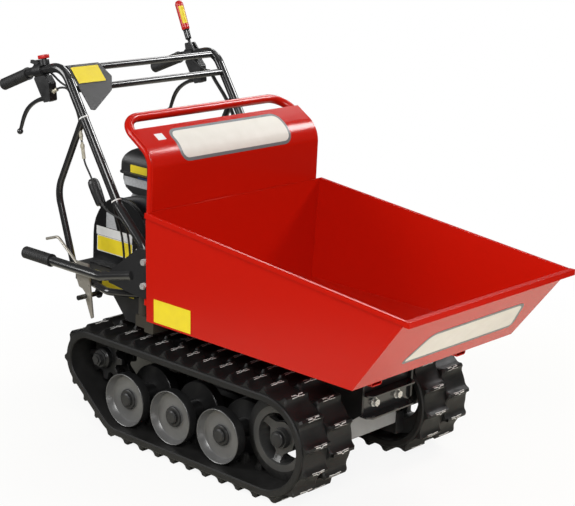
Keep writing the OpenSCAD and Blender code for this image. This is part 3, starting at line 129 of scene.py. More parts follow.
def addFloor(spec):
    bm = bmesh.new()
    bmesh.ops.create_grid(bm, x_segments=1, y_segments=1, size=spec["half"])
    mesh = bpy.data.meshes.new("studioFloor")
    bm.to_mesh(mesh)
    bm.free()
    floor = bpy.data.objects.new("studioFloor", mesh)
    scene.collection.objects.link(floor)
    paper = bpy.data.materials.new("floorPaper")
    paper.use_nodes = True
    tree = paper.node_tree
    tree.nodes.clear()
    where = tree.nodes.new("ShaderNodeTexCoord")
    reach = tree.nodes.new("ShaderNodeVectorMath")
    reach.operation = "DISTANCE"
    reach.inputs[1].default_value = spec["paperMiddle"]
    tree.links.new(where.outputs["Object"], reach.inputs[0])

    def fadeOver(ends, least):
        fade = tree.nodes.new("ShaderNodeMapRange")
        fade.interpolation_type = "SMOOTHSTEP"
        fade.inputs["From Min"].default_value, fade.inputs["From Max"].default_value = ends
        fade.inputs["To Min"].default_value = least
        tree.links.new(reach.outputs["Value"], fade.inputs["Value"])
        return fade.outputs["Result"]

    matt = tree.nodes.new("ShaderNodeBsdfDiffuse")
    tree.links.new(mixColours(tree, fadeOver(spec["paperEdge"], 0), spec["paper"], spec["beyond"]),
                   matt.inputs["Color"])
    glow = tree.nodes.new("ShaderNodeEmission")
    glow.inputs["Color"].default_value = (1, 1, 1, 1)
    path = tree.nodes.new("ShaderNodeLightPath")
    seen = tree.nodes.new("ShaderNodeMath")
    seen.operation = "MULTIPLY"
    tree.links.new(path.outputs["Is Camera Ray"], seen.inputs[0])
    tree.links.new(fadeOver(spec["white"], spec["least"]), seen.inputs[1])
    mix = tree.nodes.new("ShaderNodeMixShader")
    tree.links.new(seen.outputs[0], mix.inputs["Fac"])
    tree.links.new(matt.outputs[0], mix.inputs[1])
    tree.links.new(glow.outputs[0], mix.inputs[2])
    out = tree.nodes.new("ShaderNodeOutputMaterial")
    tree.links.new(mix.outputs[0], out.inputs["Surface"])
    mesh.materials.append(paper)


for box in studio["boxes"]:
    addSoftBox(box)
setSky(studio["sky"])
addFloor(studio["floor"])
print("studio set")


# shared surface effects as node groups
noise = {"middle": 0.5, "mottleDetail": 5, "dustDetail": 6, "dustScale": 38, "grainDetail": 3}


def newGroup(name, sockets):
    group = bpy.data.node_groups.new(name, "ShaderNodeTree")
    for label, way, kind, value in sockets:
        socket = group.interface.new_socket(label, in_out=way, socket_type=kind)
        if value is not None:
            socket.default_value = value
    return group, group.nodes.new("NodeGroupInput"), group.nodes.new("NodeGroupOutput")


def makeMottle():
    group, given, made = newGroup("paintMottle", [
        ("Scale", "INPUT", "NodeSocketFloat", 20.0), ("Sharpness", "INPUT", "NodeSocketFloat", 0.2),
        ("Mask", "OUTPUT", "NodeSocketFloat", None)])
    where = group.nodes.new("ShaderNodeTexCoord")
    cloud = group.nodes.new("ShaderNodeTexNoise")
    cloud.inputs["Detail"].default_value = noise["mottleDetail"]
    group.links.new(where.outputs["Object"], cloud.inputs["Vector"])
    group.links.new(given.outputs["Scale"], cloud.inputs["Scale"])
    low = group.nodes.new("ShaderNodeMath")
    low.operation = "SUBTRACT"
    low.inputs[0].default_value = noise["middle"]
    group.links.new(given.outputs["Sharpness"], low.inputs[1])
    high = group.nodes.new("ShaderNodeMath")
    high.operation = "ADD"
    high.inputs[0].default_value = noise["middle"]
    group.links.new(given.outputs["Sharpness"], high.inputs[1])
    spread = group.nodes.new("ShaderNodeMapRange")
    group.links.new(cloud.outputs["Fac"], spread.inputs["Value"])
    group.links.new(low.outputs[0], spread.inputs["From Min"])
    group.links.new(high.outputs[0], spread.inputs["From Max"])
    group.links.new(spread.outputs["Result"], made.inputs["Mask"])
    return group


def makeDust():
    group, given, made = newGroup("groundDust", [
        ("Height", "INPUT", "NodeSocketFloat", 0.2), ("Amount", "INPUT", "NodeSocketFloat", 0.3),
        ("Mask", "OUTPUT", "NodeSocketFloat", None)])
    where = group.nodes.new("ShaderNodeTexCoord")
    split = group.nodes.new("ShaderNodeSeparateXYZ")
    group.links.new(where.outputs["Object"], split.inputs[0])
    fall = group.nodes.new("ShaderNodeMapRange")
    fall.inputs["To Min"].default_value = 1
    fall.inputs["To Max"].default_value = 0
    group.links.new(split.outputs["Z"], fall.inputs["Value"])
    group.links.new(given.outputs["Height"], fall.inputs["From Max"])
    speck = group.nodes.new("ShaderNodeTexNoise")
    speck.inputs["Scale"].default_value = noise["dustScale"]
    speck.inputs["Detail"].default_value = noise["dustDetail"]
    group.links.new(where.outputs["Object"], speck.inputs["Vector"])
    both = group.nodes.new("ShaderNodeMath")
    both.operation = "MULTIPLY"
    group.links.new(fall.outputs["Result"], both.inputs[0])
    group.links.new(speck.outputs["Fac"], both.inputs[1])
    level = group.nodes.new("ShaderNodeMath")
    level.operation = "MULTIPLY"
    group.links.new(both.outputs[0], level.inputs[0])
    group.links.new(given.outputs["Amount"], level.inputs[1])
    group.links.new(level.outputs[0], made.inputs["Mask"])
    return group


def makeGrain():
    group, given, made = newGroup("fineGrain", [
        ("Scale", "INPUT", "NodeSocketFloat", 900.0), ("Height", "OUTPUT", "NodeSocketFloat", None)])
    where = group.nodes.new("ShaderNodeTexCoord")
    fine = group.nodes.new("ShaderNodeTexNoise")
    fine.inputs["Detail"].default_value = noise["grainDetail"]
    group.links.new(where.outputs["Object"], fine.inputs["Vector"])
    group.links.new(given.outputs["Scale"], fine.inputs["Scale"])
    group.links.new(fine.outputs["Fac"], made.inputs["Height"])
    return group


mottleGroup, dustGroup, grainGroup = makeMottle(), makeDust(), makeGrain()

# colour, second colour, roughness range, and the shader's own fixed values
finishes = {
    "glossRed": {"base": (0.525, 0.0085, 0.0022), "second": (0.517, 0.0083, 0.0022), "rough": (0.2, 0.205),
                 "coat": 0.08, "specular": 0.25, "mottle": 3.0, "grain": 260, "bump": 0.004},
    "glossBlack": {"base": (0.016, 0.016, 0.0165), "second": (0.02, 0.02, 0.0205), "rough": (0.17, 0.22), "coat": 0.5,
                   "mottle": 14.0, "grain": 420, "bump": 0.008},
    # a darker copy of the gloss black for the belt guard: painted shade on its outward side
    "guardBlack": {"base": (0.0055, 0.0055, 0.006), "second": (0.0075, 0.0075, 0.008), "rough": (0.2, 0.25),
                   "coat": 0.1, "mottle": 18.0, "grain": 500, "bump": 0.01},
    "deckBlack": {"base": (0.008, 0.008, 0.0085), "second": (0.012, 0.012, 0.012), "rough": (0.3, 0.44), "coat": 0.1,
                  "mottle": 18.0, "grain": 500, "bump": 0.05},
    "panelGrey": {"base": (0.05, 0.05, 0.051), "second": (0.042, 0.042, 0.043), "rough": (0.38, 0.5), "mottle": 18.0,
                  "grain": 700, "bump": 0.06},
    "trackRubber": {"base": (0.007, 0.007, 0.007), "second": (0.0115, 0.0113, 0.011), "rough": (0.4, 0.58),
                    "specular": 0.28, "mottle": 22.0, "grain": 650, "bump": 0.12, "dust": (0.25, 0.12),
                    "dustColour": (0.09, 0.087, 0.08)},
    # pale rubber for the tread marks: wear on the crests, and a painted highlight along the crest edges
    "rubberWearAndHighlight": {"base": (0.26, 0.257, 0.245), "second": (0.8, 0.79, 0.76), "rough": (0.5, 0.65), "mottle": 300.0,
                   "grain": 650, "bump": 0.2},
    "gripRubber": {"base": (0.011, 0.011, 0.0115), "second": (0.016, 0.016, 0.016), "rough": (0.5, 0.65),
                   "mottle": 40.0, "grain": 1400, "bump": 0.12},
    "wheelGrey": {"base": (0.15, 0.15, 0.148), "second": (0.12, 0.12, 0.119), "rough": (0.27, 0.38), "metal": 0.3,
                  "mottle": 25.0, "grain": 380, "bump": 0.03},
    "idlerGrey": {"base": (0.066, 0.066, 0.065), "second": (0.05, 0.05, 0.049), "rough": (0.28, 0.4), "metal": 0.3,
                  "mottle": 25.0, "grain": 380, "bump": 0.04},
    "beamGrey": {"base": (0.3, 0.305, 0.31), "second": (0.24, 0.245, 0.25), "rough": (0.36, 0.5), "metal": 0.2,
                 "mottle": 20.0, "grain": 380, "bump": 0.04},
    "capDark": {"base": (0.022, 0.022, 0.0225), "second": (0.036, 0.036, 0.036), "rough": (0.35, 0.5), "metal": 0.4,
                "mottle": 60.0, "grain": 900, "bump": 0.06},
    "zincPlate": {"base": (0.6, 0.56, 0.45), "second": (0.5, 0.465, 0.37), "rough": (0.28, 0.44), "metal": 0.4,
                  "mottle": 45.0, "grain": 700, "bump": 0.04},
    "dullZinc": {"base": (0.46, 0.43, 0.37), "second": (0.36, 0.335, 0.29), "rough": (0.25, 0.4), "metal": 0.6,
                 "mottle": 45.0, "grain": 700, "bump": 0.03},
    "boltZinc": {"base": (0.74, 0.73, 0.7), "second": (0.6, 0.59, 0.56), "rough": (0.2, 0.34), "metal": 0.6,
                 "mottle": 90.0, "grain": 900, "bump": 0.05},
    "postBrown": {"base": (0.034, 0.029, 0.02), "second": (0.026, 0.022, 0.016), "rough": (0.34, 0.48), "mottle": 20.0,
                  "grain": 500, "bump": 0.04},
    "castAlloy": {"base": (0.36, 0.365, 0.37), "second": (0.29, 0.295, 0.3), "rough": (0.48, 0.64), "metal": 0.55,
                  "mottle": 50.0, "grain": 1000, "bump": 0.14},
    "mouldedBlack": {"base": (0.009, 0.009, 0.0095), "second": (0.014, 0.014, 0.0145), "rough": (0.3, 0.44),
                     "mottle": 30.0, "grain": 1300, "bump": 0.08},
    "plateCream": {"base": (0.76, 0.72, 0.65), "second": (0.72, 0.68, 0.61), "rough": (0.5, 0.6), "mottle": 30.0,
                   "grain": 700, "bump": 0.02},
    "plateWhite": {"base": (0.78, 0.78, 0.76), "second": (0.72, 0.72, 0.7), "rough": (0.35, 0.45), "mottle": 40.0,
                   "grain": 700, "bump": 0.02},
    "plateYellow": {"base": (0.88, 0.7, 0.02), "second": (0.82, 0.64, 0.02), "rough": (0.35, 0.45), "mottle": 40.0,
                    "grain": 700, "bump": 0.02},
    "plateBorder": {"base": (0.17, 0.175, 0.18), "second": (0.14, 0.145, 0.15), "rough": (0.35, 0.45), "mottle": 40.0,
                    "grain": 700, "bump": 0.02},
    "plateGrey": {"base": (0.52, 0.53, 0.54), "second": (0.36, 0.37, 0.38), "rough": (0.35, 0.45), "mottle": 160.0,
                  "grain": 700, "bump": 0.02},
    "plateBlue": {"base": (0.012, 0.085, 0.33), "second": (0.01, 0.075, 0.3), "rough": (0.35, 0.45), "mottle": 40.0,
                  "grain": 700, "bump": 0.02},
    "sleeveRed": {"base": (0.56, 0.009, 0.006), "second": (0.5, 0.008, 0.006), "rough": (0.26, 0.38), "coat": 0.2,
                  "mottle": 30.0, "grain": 900, "bump": 0.03},
}
# shared by all of them
allFinishes = {"coatRough": 0.12, "sharpness": 0.22, "bumpDepth": 0.001}
madeFinishes = {}


def addGroup(tree, group, **values):
    holder = tree.nodes.new("ShaderNodeGroup")
    holder.node_tree = group
    for label, value in values.items():
        holder.inputs[label].default_value = value
    return holder


def makeFinish(name):
    if name in madeFinishes:
        return madeFinishes[name]
    spec = finishes[name]
    material = bpy.data.materials.new(name)
    material.use_nodes = True
    tree = material.node_tree
    shader = tree.nodes["Principled BSDF"]
    shader.inputs["Metallic"].default_value = spec.get("metal", 0.0)
    shader.inputs["Coat Weight"].default_value = spec.get("coat", 0.0)
    shader.inputs["Coat Roughness"].default_value = allFinishes["coatRough"]
    shader.inputs["Specular IOR Level"].default_value = spec.get("specular", 0.5)
    mottle = addGroup(tree, mottleGroup, Scale=spec["mottle"], Sharpness=allFinishes["sharpness"]).outputs["Mask"]
    colour = mixColours(tree, mottle, spec["base"], spec["second"])
    if "dust" in spec:
        dust = addGroup(tree, dustGroup, Height=spec["dust"][0], Amount=spec["dust"][1]).outputs["Mask"]
        colour = mixColours(tree, dust, colour, spec["dustColour"])
    tree.links.new(colour, shader.inputs["Base Color"])
    rough = tree.nodes.new("ShaderNodeMapRange")
    rough.inputs["To Min"].default_value, rough.inputs["To Max"].default_value = spec["rough"]
    tree.links.new(mottle, rough.inputs["Value"])
    tree.links.new(rough.outputs["Result"], shader.inputs["Roughness"])
    bump = tree.nodes.new("ShaderNodeBump")
    bump.inputs["Strength"].default_value = spec["bump"]
    bump.inputs["Distance"].default_value = allFinishes["bumpDepth"]
    tree.links.new(addGroup(tree, grainGroup, Scale=spec["grain"]).outputs["Height"], bump.inputs["Height"])
    tree.links.new(bump.outputs["Normal"], shader.inputs["Normal"])
    madeFinishes[name] = material
    return material


# the finish of every CAD node, and of the pieces made from it
nodeFinish = {
    "glossRed": ["tub_shell", "back_guard", "guard_hoop", "tub_underframe"],
    "glossBlack": ["tipping_handle", "handlebar_right", "handlebar_left", "cross_bars", "handlebar_stays",
                   "latch_striker", "front_channel"],
    "postBrown": ["tub_rest_beam"],
    # the belt guard gets the darker copy of the gloss black: painted shade
    "guardBlack": ["belt_guard"],
    "deckBlack": ["chassis_frame", "track_beam_right", "track_beam_left", "engine_deck", "sprocket_right",
                  "sprocket_left"],
    "panelGrey": ["control_panel"],
    "trackRubber": ["track_right", "track_left"],
    "gripRubber": ["tipping_grip", "handlebar_grips", "drive_belt", "control_cables"],
    "wheelGrey": ["roller_right_1", "roller_right_2", "roller_right_3", "roller_left_1", "roller_left_2",
                  "roller_left_3"],
    "idlerGrey": ["idler_right", "idler_left"],
    "beamGrey": ["cross_beams"],
    "capDark": ["roller_axles", "drive_axle_right", "drive_axle_left"],
    "boltZinc": ["handle_bolts", "chassis_fasteners"],
    "dullZinc": ["latch_lever"],
    "zincPlate": ["idler_tensioners", "tension_arm", "engine_pulley", "gearbox_pulley"],
    "castAlloy": ["gearbox", "engine_block", "muffler"],
    "mouldedBlack": ["fuel_tank", "fuel_cap", "air_cleaner", "recoil_starter", "engine_shroud", "lever_perches",
                     "steering_lever_right", "steering_lever_left", "throttle_lever", "gear_lever"],
    "sleeveRed": ["stop_button", "drive_lever"],
}
for finishName, held in nodeFinish.items():
    for node in held:
        mesh = cadNodes[node].data
        mesh.materials.clear()
        mesh.materials.append(makeFinish(finishName))
finishOf = {node: finishName for finishName, held in nodeFinish.items() for node in held}
print("finishes on nodes:", len(finishOf))


def placePiece(name, bm, body, finishNames, replaced=(), sharp=35):  # sharp: degrees between faces
    for face in bm.faces:
        face.smooth = True
    mesh = bpy.data.meshes.new(name)
    bm.to_mesh(mesh)
    bm.free()
    for finishName in finishNames:
        mesh.materials.append(makeFinish(finishName))
    mesh.set_sharp_from_angle(angle=math.radians(sharp))
    piece = bpy.data.objects.new(name, mesh)
    scene.collection.objects.link(piece)
    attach(piece, body)
    if replaced:
        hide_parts(*replaced)
    return piece


# vertices nearer than this are one, in metres: in the CAD meshes, and at the seam of a turned ring
mergeGap, seamGap = 0.00001, 0.000005

# where the running gear stands: half the distance between the tracks' middles, and the idler axle's x and z
trackGauge = 0.25
idlerAxle = (0.327, 0.1535)

# sheet, plate and cast nodes get the small rounded edges of the real ones: node and edge radius in metres
roundedNodes = {
    "tub_shell": 0.0013, "back_guard": 0.001, "tub_underframe": 0.0012, "tipping_handle": 0.001, "chassis_frame": 0.001,
    "front_channel": 0.0014, "tub_rest_beam": 0.001, "cross_beams": 0.001, "engine_deck": 0.001, "belt_guard": 0.0008,
    "engine_block": 0.0014, "engine_shroud": 0.0012, "fuel_tank": 0.0012, "air_cleaner": 0.0014, "muffler": 0.001,
    "control_panel": 0.0007, "lever_perches": 0.001, "latch_lever": 0.0006, "gearbox": 0.0014,
    "idler_right": 0.0015, "idler_left": 0.0015, "sprocket_right": 0.001, "sprocket_left": 0.001,
}
# in degrees: faces are joined below the first angle, and edges are rounded above the second
rounding = {"flat": 0.6, "crease": 34, "segments": 2}


def roundNode(node, radius):
    bm = bmesh.new()
    bm.from_mesh(cadNodes[node].data)
    bmesh.ops.remove_doubles(bm, verts=bm.verts, dist=mergeGap)
    bmesh.ops.dissolve_limit(bm, angle_limit=math.radians(rounding["flat"]), verts=bm.verts, edges=bm.edges)
    least = math.radians(rounding["crease"])
    creases = [edge for edge in bm.edges if len(edge.link_faces) == 2 and edge.calc_face_angle() > least]
    bmesh.ops.bevel(bm, geom=creases, offset=radius, offset_type="OFFSET", segments=rounding["segments"], profile=0.5,
                    affect="EDGES", clamp_overlap=True, material=-1)
    return bm


idlerRimFrom = 0.0685  # the idlers are black beyond this distance from the axle, with grey spokes inside it
for node, radius in roundedNodes.items():
    bm = roundNode(node, radius)
    held = [finishOf[node]]
    if node.startswith("idler"):
        held.append("trackRubber")
        for face in bm.faces:
            middle = face.calc_center_median()
            face.material_index = math.hypot(middle.x - idlerAxle[0], middle.z - idlerAxle[1]) > idlerRimFrom
    piece = placePiece(node + "_rounded", bm, bodyOf[node], held, [node])
    flats = piece.modifiers.new("flatFaces", "WEIGHTED_NORMAL")
    flats.keep_sharp = True
print("rounded nodes:", len(roundedNodes))

# rubber tracks: wheels as x, z and radius, then the belt's, treads' and guide teeth's sizes, in metres and degrees;
# the treads' half outline is in shares of a link and of the tread's height
track = {
    "wheels": [(-0.332, 0.201, 0.068), (*idlerAxle, 0.1155), (-0.211, 0.115, 0.077)],
    "thick": 0.02, "pitchLine": 0.008, "links": 33, "arcStep": 5, "leastSteps": 8, "mergeGap": 0.00005,
    "section": [(-0.1, 0.003), (-0.097, 0), (0.097, 0), (0.1, 0.003), (0.1, 0.016), (0.097, 0.0195), (0.093, 0.02),
                (-0.093, 0.02), (-0.097, 0.0195), (-0.1, 0.016)],
    "treadHalf": [(0.5, -0.06), (0.5, 0.03), (0.4, 0.05), (0.3, 0.11), (0.22, 0.2), (0.155, 0.36), (0.11, 0.58),
                  (0.077, 0.82), (0.05, 1)],
    "treadHigh": 0.018, "treadBands": [(0.0005, 0.55), (0.006, 1), (0.087, 1), (0.0938, 0.7)],
    "wornWide": 0.0025, "wornLift": 0.00015, "crestEdgeLift": 0.0002,
    # pale marks on the treads: a worn zigzag along each crest, and strips along both crest edges that are partly wear
    # and partly a painted highlight
    "worn": [(0.021, -0.0014), (0.036, -0.0014), (0.041, 0.0026), (0.0435, 0.0028), (0.047, -0.0004), (0.063, -0.001)],
    "crestEdgeMarks": [(0.019, 0.2, 0.75), (0.034, 0.3, 0.9), (0.039, 0.55, 1), (0.044, 0.5, 1), (0.049, 0.25, 0.85),
                (0.066, 0.15, 0.7)],
    "guideHigh": 0.024, "guideWide": 0.026, "guideLong": 0.026, "guideRoot": 0.001, "guideTip": (0.6, 0.62, 1),
    "guideRound": 0.0025,
}


def facingAngle(first, second):
    gap = math.hypot(second[0] - first[0], second[1] - first[1])
    return math.atan2(second[1] - first[1], second[0] - first[0]) + math.acos((first[2] - second[2]) / gap)


def planPath(spec):
    wheels = spec["wheels"]
    leave = []
    for index in range(3):
        angle = facingAngle(wheels[index], wheels[(index + 1) % 3])
        while leave and angle > leave[-1]:
            angle -= math.tau
        leave.append(angle)
    stretches = []  # wheel, angle it starts at, angle it leaves at, arc length, straight length
    for index in range(3):
        wheel, follow = wheels[index], wheels[(index + 1) % 3]
        begin = leave[2] + math.tau if index == 0 else leave[index - 1]
        gap = math.hypot(follow[0] - wheel[0], follow[1] - wheel[1])
        stretches.append((wheel, begin, leave[index], (wheel[2] + spec["pitchLine"]) * (begin - leave[index]),
                          math.sqrt(gap ** 2 - (wheel[2] - follow[2]) ** 2)))
    return stretches


pathStretches = planPath(track)
pathLength = sum(stretch[3] + stretch[4] for stretch in pathStretches)
linkLength = pathLength / track["links"]


def onPath(run, out):
    run %= pathLength
    for wheel, begin, leave, arc, straight in pathStretches:
        if run < arc:
            angle, ahead = begin - run / (wheel[2] + track["pitchLine"]), 0
            break
        if run < arc + straight:
            angle, ahead = leave, run - arc
            break
        run -= arc + straight
    reach = wheel[2] + out
    along, rise = math.cos(angle), math.sin(angle)
    return wheel[0] + reach * along + ahead * rise, wheel[1] + reach * rise - ahead * along


def beltLoop(middle):
    bm = bmesh.new()
    wheel, begin = pathStretches[0][:2]
    corners = []
    for across, out in track["section"]:
        reach = wheel[2] + out
        corners.append(bm.verts.new((wheel[0] + reach * math.cos(begin), middle + across,
                                     wheel[1] + reach * math.sin(begin))))
    ring = [bm.edges.new((corners[index - 1], corners[index])) for index in range(len(corners))]
    for wheel, begin, leave, arc, straight in pathStretches:
        held = list({vert for edge in ring for vert in edge.verts})
        steps = max(track["leastSteps"], round(math.degrees(begin - leave) / track["arcStep"]))
        turned = bmesh.ops.spin(bm, geom=held + ring, cent=(wheel[0], middle, wheel[1]), axis=(0, 1, 0),
                                angle=begin - leave, steps=steps)
        ring = [item for item in turned["geom_last"] if isinstance(item, bmesh.types.BMEdge)]
        pulled = bmesh.ops.extrude_edge_only(bm, edges=ring)["geom"]
        moved = [item for item in pulled if isinstance(item, bmesh.types.BMVert)]
        bmesh.ops.translate(bm, verts=moved, vec=(straight * math.sin(leave), 0, -straight * math.cos(leave)))
        ring = [item for item in pulled if isinstance(item, bmesh.types.BMEdge)]
    bmesh.ops.remove_doubles(bm, verts=bm.verts, dist=track["mergeGap"])
    mesh = bpy.data.meshes.new("beltLoop")
    bm.to_mesh(mesh)
    bm.free()
    return mesh


def treadBlock():
    bm = bmesh.new()
    half = track["treadHalf"]
    outline = [(share * linkLength, rise) for share, rise in half]
    outline += [(-run, rise) for run, rise in reversed(outline)]
    across, level = track["treadBands"][0]
    face = bm.faces.new([bm.verts.new((run, across, rise * level * track["treadHigh"])) for run, rise in outline])
    for nextAcross, nextLevel in track["treadBands"][1:]:
        pulled = bmesh.ops.extrude_face_region(bm, geom=[face])["geom"]
        moved = [item for item in pulled if isinstance(item, bmesh.types.BMVert)]
        bmesh.ops.translate(bm, verts=moved, vec=(0, nextAcross - across, 0))
        bmesh.ops.scale(bm, verts=moved, vec=(1, 1, nextLevel / level))
        face = next(item for item in pulled if isinstance(item, bmesh.types.BMFace))
        across, level = nextAcross, nextLevel
    # pale strips on the tread: wear on the crest, and along both crest edges partly wear, partly a painted highlight
    crest, wornHalf = track["treadHigh"] + track["wornLift"], track["wornWide"] / 2
    strips = [[]]
    for across, run in track["worn"]:
        strips[0].append([bm.verts.new((run + shift, across, crest)) for shift in (-wornHalf, wornHalf)])
    (lowRun, lowRise), (topRun, topRise) = half[-2:]
    for way in (-1, 1):
        rows = []
        for across, *shares in track["crestEdgeMarks"]:
            runs = [way * ((lowRun + (topRun - lowRun) * share) * linkLength + track["crestEdgeLift"]) for share in shares]
            rises = [(lowRise + (topRise - lowRise) * share) * track["treadHigh"] for share in shares]
            rows.append([bm.verts.new((run, across, rise)) for run, rise in zip(runs, rises)])
        strips.append(rows)
    for rows in strips:
        for first, second in zip(rows, rows[1:]):
            bm.faces.new((first[0], first[1], second[1], second[0])).material_index = 1
    bmesh.ops.recalc_face_normals(bm, faces=bm.faces)
    mesh = bpy.data.meshes.new("treadBlock")
    bm.to_mesh(mesh)
    bm.free()
    return mesh


def guideTooth():
    bm = bmesh.new()
    cube = bmesh.ops.create_cube(bm, size=1)["verts"]
    bmesh.ops.scale(bm, verts=cube, vec=(track["guideLong"], track["guideWide"],
                                         track["guideHigh"] + track["guideRoot"]))
    bmesh.ops.translate(bm, verts=cube, vec=(0, 0, -track["guideHigh"] / 2))
    bmesh.ops.scale(bm, verts=[vert for vert in cube if vert.co.z < -track["guideHigh"] / 2], vec=track["guideTip"])
    bmesh.ops.bevel(bm, geom=bm.edges[:], offset=track["guideRound"], offset_type="OFFSET", segments=2, profile=0.5,
                    affect="EDGES", material=-1)
    mesh = bpy.data.meshes.new("guideTooth")
    bm.to_mesh(mesh)
    bm.free()
    return mesh


def layAlong(bm, mesh, run, middle, side, base):
    before = len(bm.verts)
    bm.from_mesh(mesh)
    bm.verts.ensure_lookup_table()
    for vert in bm.verts[before:]:
        x, z = onPath(run + vert.co.x, base + vert.co.z)
        vert.co = (x, middle + side * vert.co.y, z)


def buildTrack(node, side):
    middle = side * trackGauge
    bm = bmesh.new()
    for link in range(track["links"]):
        layAlong(bm, treadMesh, link * linkLength, middle, side, track["thick"])
        layAlong(bm, treadMesh, (link + 0.5) * linkLength, middle, -side, track["thick"])
        layAlong(bm, toothMesh, link * linkLength, middle, 1, 0)
    bm.from_mesh(beltLoop(middle))
    bmesh.ops.recalc_face_normals(bm, faces=bm.faces)
    placePiece(node + "_rubber", bm, bodyOf[node], ["trackRubber", "rubberWearAndHighlight"], [node], sharp=40)


treadMesh, toothMesh = treadBlock(), guideTooth()
buildTrack("track_right", -1)
buildTrack("track_left", 1)
print("tracks built, link length in mm:", round(linkLength * 1000, 2))

# road rollers: a dished pressing outside, a plain disc inside; radius and distance outwards from the track's middle
roller = {
    "x": (-0.211, -0.033, 0.145), "z": 0.115, "steps": 80,
    "profile": [(0.0127, 0.058), (0.0255, 0.058), (0.0275, 0.0565), (0.0285, 0.053), (0.0295, 0.049), (0.034, 0.0482),
                (0.06, 0.0486), (0.0645, 0.0496), (0.0672, 0.0525), (0.0712, 0.0672), (0.0722, 0.0692), (0.0735, 0.07),
                (0.0748, 0.0692), (0.076, 0.067), (0.076, 0.042), (0.074, 0.04), (0.063, 0.04), (0.026, 0.036),
                (0.026, -0.036), (0.063, -0.04), (0.074, -0.04), (0.076, -0.042), (0.076, -0.068), (0.074, -0.07),
                (0.064, -0.07), (0.06, -0.054), (0.026, -0.049), (0.026, -0.062), (0.0127, -0.062)],
    "capTo": 0.0287, "greyTo": 0.0742, "dishFrom": 0.045,
}


def latheRing(profile, place, side, steps):
    bm = bmesh.new()
    corners = [bm.verts.new((place[0] + radius, place[1] + side * out, place[2])) for radius, out in profile]
    ring = [bm.edges.new((corners[index - 1], corners[index])) for index in range(len(corners))]
    bmesh.ops.spin(bm, geom=corners + ring, cent=place, axis=(0, 1, 0), angle=math.tau, steps=steps, use_merge=True)
    bmesh.ops.remove_doubles(bm, verts=bm.verts, dist=seamGap)
    bmesh.ops.recalc_face_normals(bm, faces=bm.faces)
    return bm


def buildRoller(node, number, side):
    place = Vector((roller["x"][number], side * trackGauge, roller["z"]))
    bm = latheRing(roller["profile"], place, side, roller["steps"])
    for face in bm.faces:
        middle = face.calc_center_median()
        reach = math.hypot(middle.x - place.x, middle.z - place.z)
        black = side * (middle.y - place.y) < roller["dishFrom"] or reach > roller["greyTo"]
        face.material_index = 1 if black else 2 if reach < roller["capTo"] else 0
    placePiece(node + "_pressed", bm, bodyOf[node], ["wheelGrey", "deckBlack", "capDark"], [node],
               sharp=30)


for side, label in ((-1, "right"), (1, "left")):
    for number in range(3):
        buildRoller("roller_%s_%d" % (label, number + 1), number, side)
print("rollers built")

# dark caps over the idler axle ends; radius and distance outwards from the track's middle
idlerCap = {"steps": 48,
            "profile": [(0.0004, 0.0436), (0.0145, 0.0436), (0.0165, 0.0426), (0.0168, 0.0432), (0.0195, 0.043),
                        (0.0212, 0.041), (0.0214, 0.0345), (0.0004, 0.0345)]}
for side, label in ((-1, "right"), (1, "left")):
    place = Vector((idlerAxle[0], side * trackGauge, idlerAxle[1]))
    bm = latheRing(idlerCap["profile"], place, side, idlerCap["steps"])
    placePiece("idlerCap_" + label, bm, "carrier", ["capDark"])
print("idler caps built")

# dark sheets that close the frame's sides and rear below its plates, standing in for the shade seen through the gaps
# under the machine: low and high x, y and z
shadeSkirts = {
    "round": 0.0008,
    "sheets": {
        "right": (-0.44, 0.25, -0.1035, -0.1005, 0.088, 0.187), "left": (-0.44, 0.25, 0.1005, 0.1035, 0.088, 0.187),
        "rear": (-0.4395, -0.4365, -0.1005, 0.1005, 0.088, 0.192),
    },
}


def buildShadeSkirt(label, x0, x1, y0, y1, z0, z1):
    bm = bmesh.new()
    sheet = bmesh.ops.create_cube(bm, size=1)["verts"]
    bmesh.ops.scale(bm, verts=sheet, vec=(x1 - x0, y1 - y0, z1 - z0))
    bmesh.ops.translate(bm, verts=sheet, vec=((x0 + x1) / 2, (y0 + y1) / 2, (z0 + z1) / 2))
    bmesh.ops.bevel(bm, geom=bm.edges[:], offset=shadeSkirts["round"], offset_type="OFFSET", segments=2, profile=0.5,
                    affect="EDGES", material=-1)
    placePiece("shadeSkirt_" + label, bm, "carrier", ["deckBlack"])


for label, sides in shadeSkirts["sheets"].items():
    buildShadeSkirt(label, *sides)
print("skirts built")

# drive lever: bare black stem, red sleeve, and a plain strip on the sleeve; metres along the stem from its pivot
driveLever = {"pivot": (-0.60626, 0.296, 0.999604), "toward": (-0.4131, 0, 0.9107), "sleeve": 0.052,
              "strip": (0.07, 0.124), "stripSide": (0.9, -0.43, 0.1), "stripFacing": 0.72}


def buildDriveLever(spec):
    bm = bmesh.new()
    bm.from_mesh(cadNodes["drive_lever"].data)
    bmesh.ops.remove_doubles(bm, verts=bm.verts, dist=mergeGap)
    pivot, toward, stripSide = (Vector(spec[key]) for key in ("pivot", "toward", "stripSide"))
    low, high = spec["strip"]
    for reach in (spec["sleeve"], *spec["strip"]):
        bmesh.ops.bisect_plane(bm, geom=bm.verts[:] + bm.edges[:] + bm.faces[:], plane_co=pivot + toward * reach,
                               plane_no=toward)
    for face in bm.faces:
        reach = (face.calc_center_median() - pivot).dot(toward)
        onStrip = low < reach < high and face.normal.dot(stripSide.normalized()) > spec["stripFacing"]
        face.material_index = 1 if reach < spec["sleeve"] else 2 if onStrip else 0
    placePiece("drive_lever_sleeved", bm, bodyOf["drive_lever"],
               ["sleeveRed", "glossBlack", "plateYellow"], ["drive_lever"])


buildDriveLever(driveLever)

# white ties round the near handlebar: the tube's line as x and z, and the ring as radius and length along the tube
barTies = {
    "low": (-0.276, 0.653), "high": (-0.505, 1.0), "side": -0.296, "heights": {"barTie": 0.868, "barTie_lower": 0.662},
    "finish": "plateWhite", "profile": [(0.0131, 0), (0.0143, 0.0003), (0.0143, 0.0037), (0.0131, 0.004)],
}
ringSteps = 32


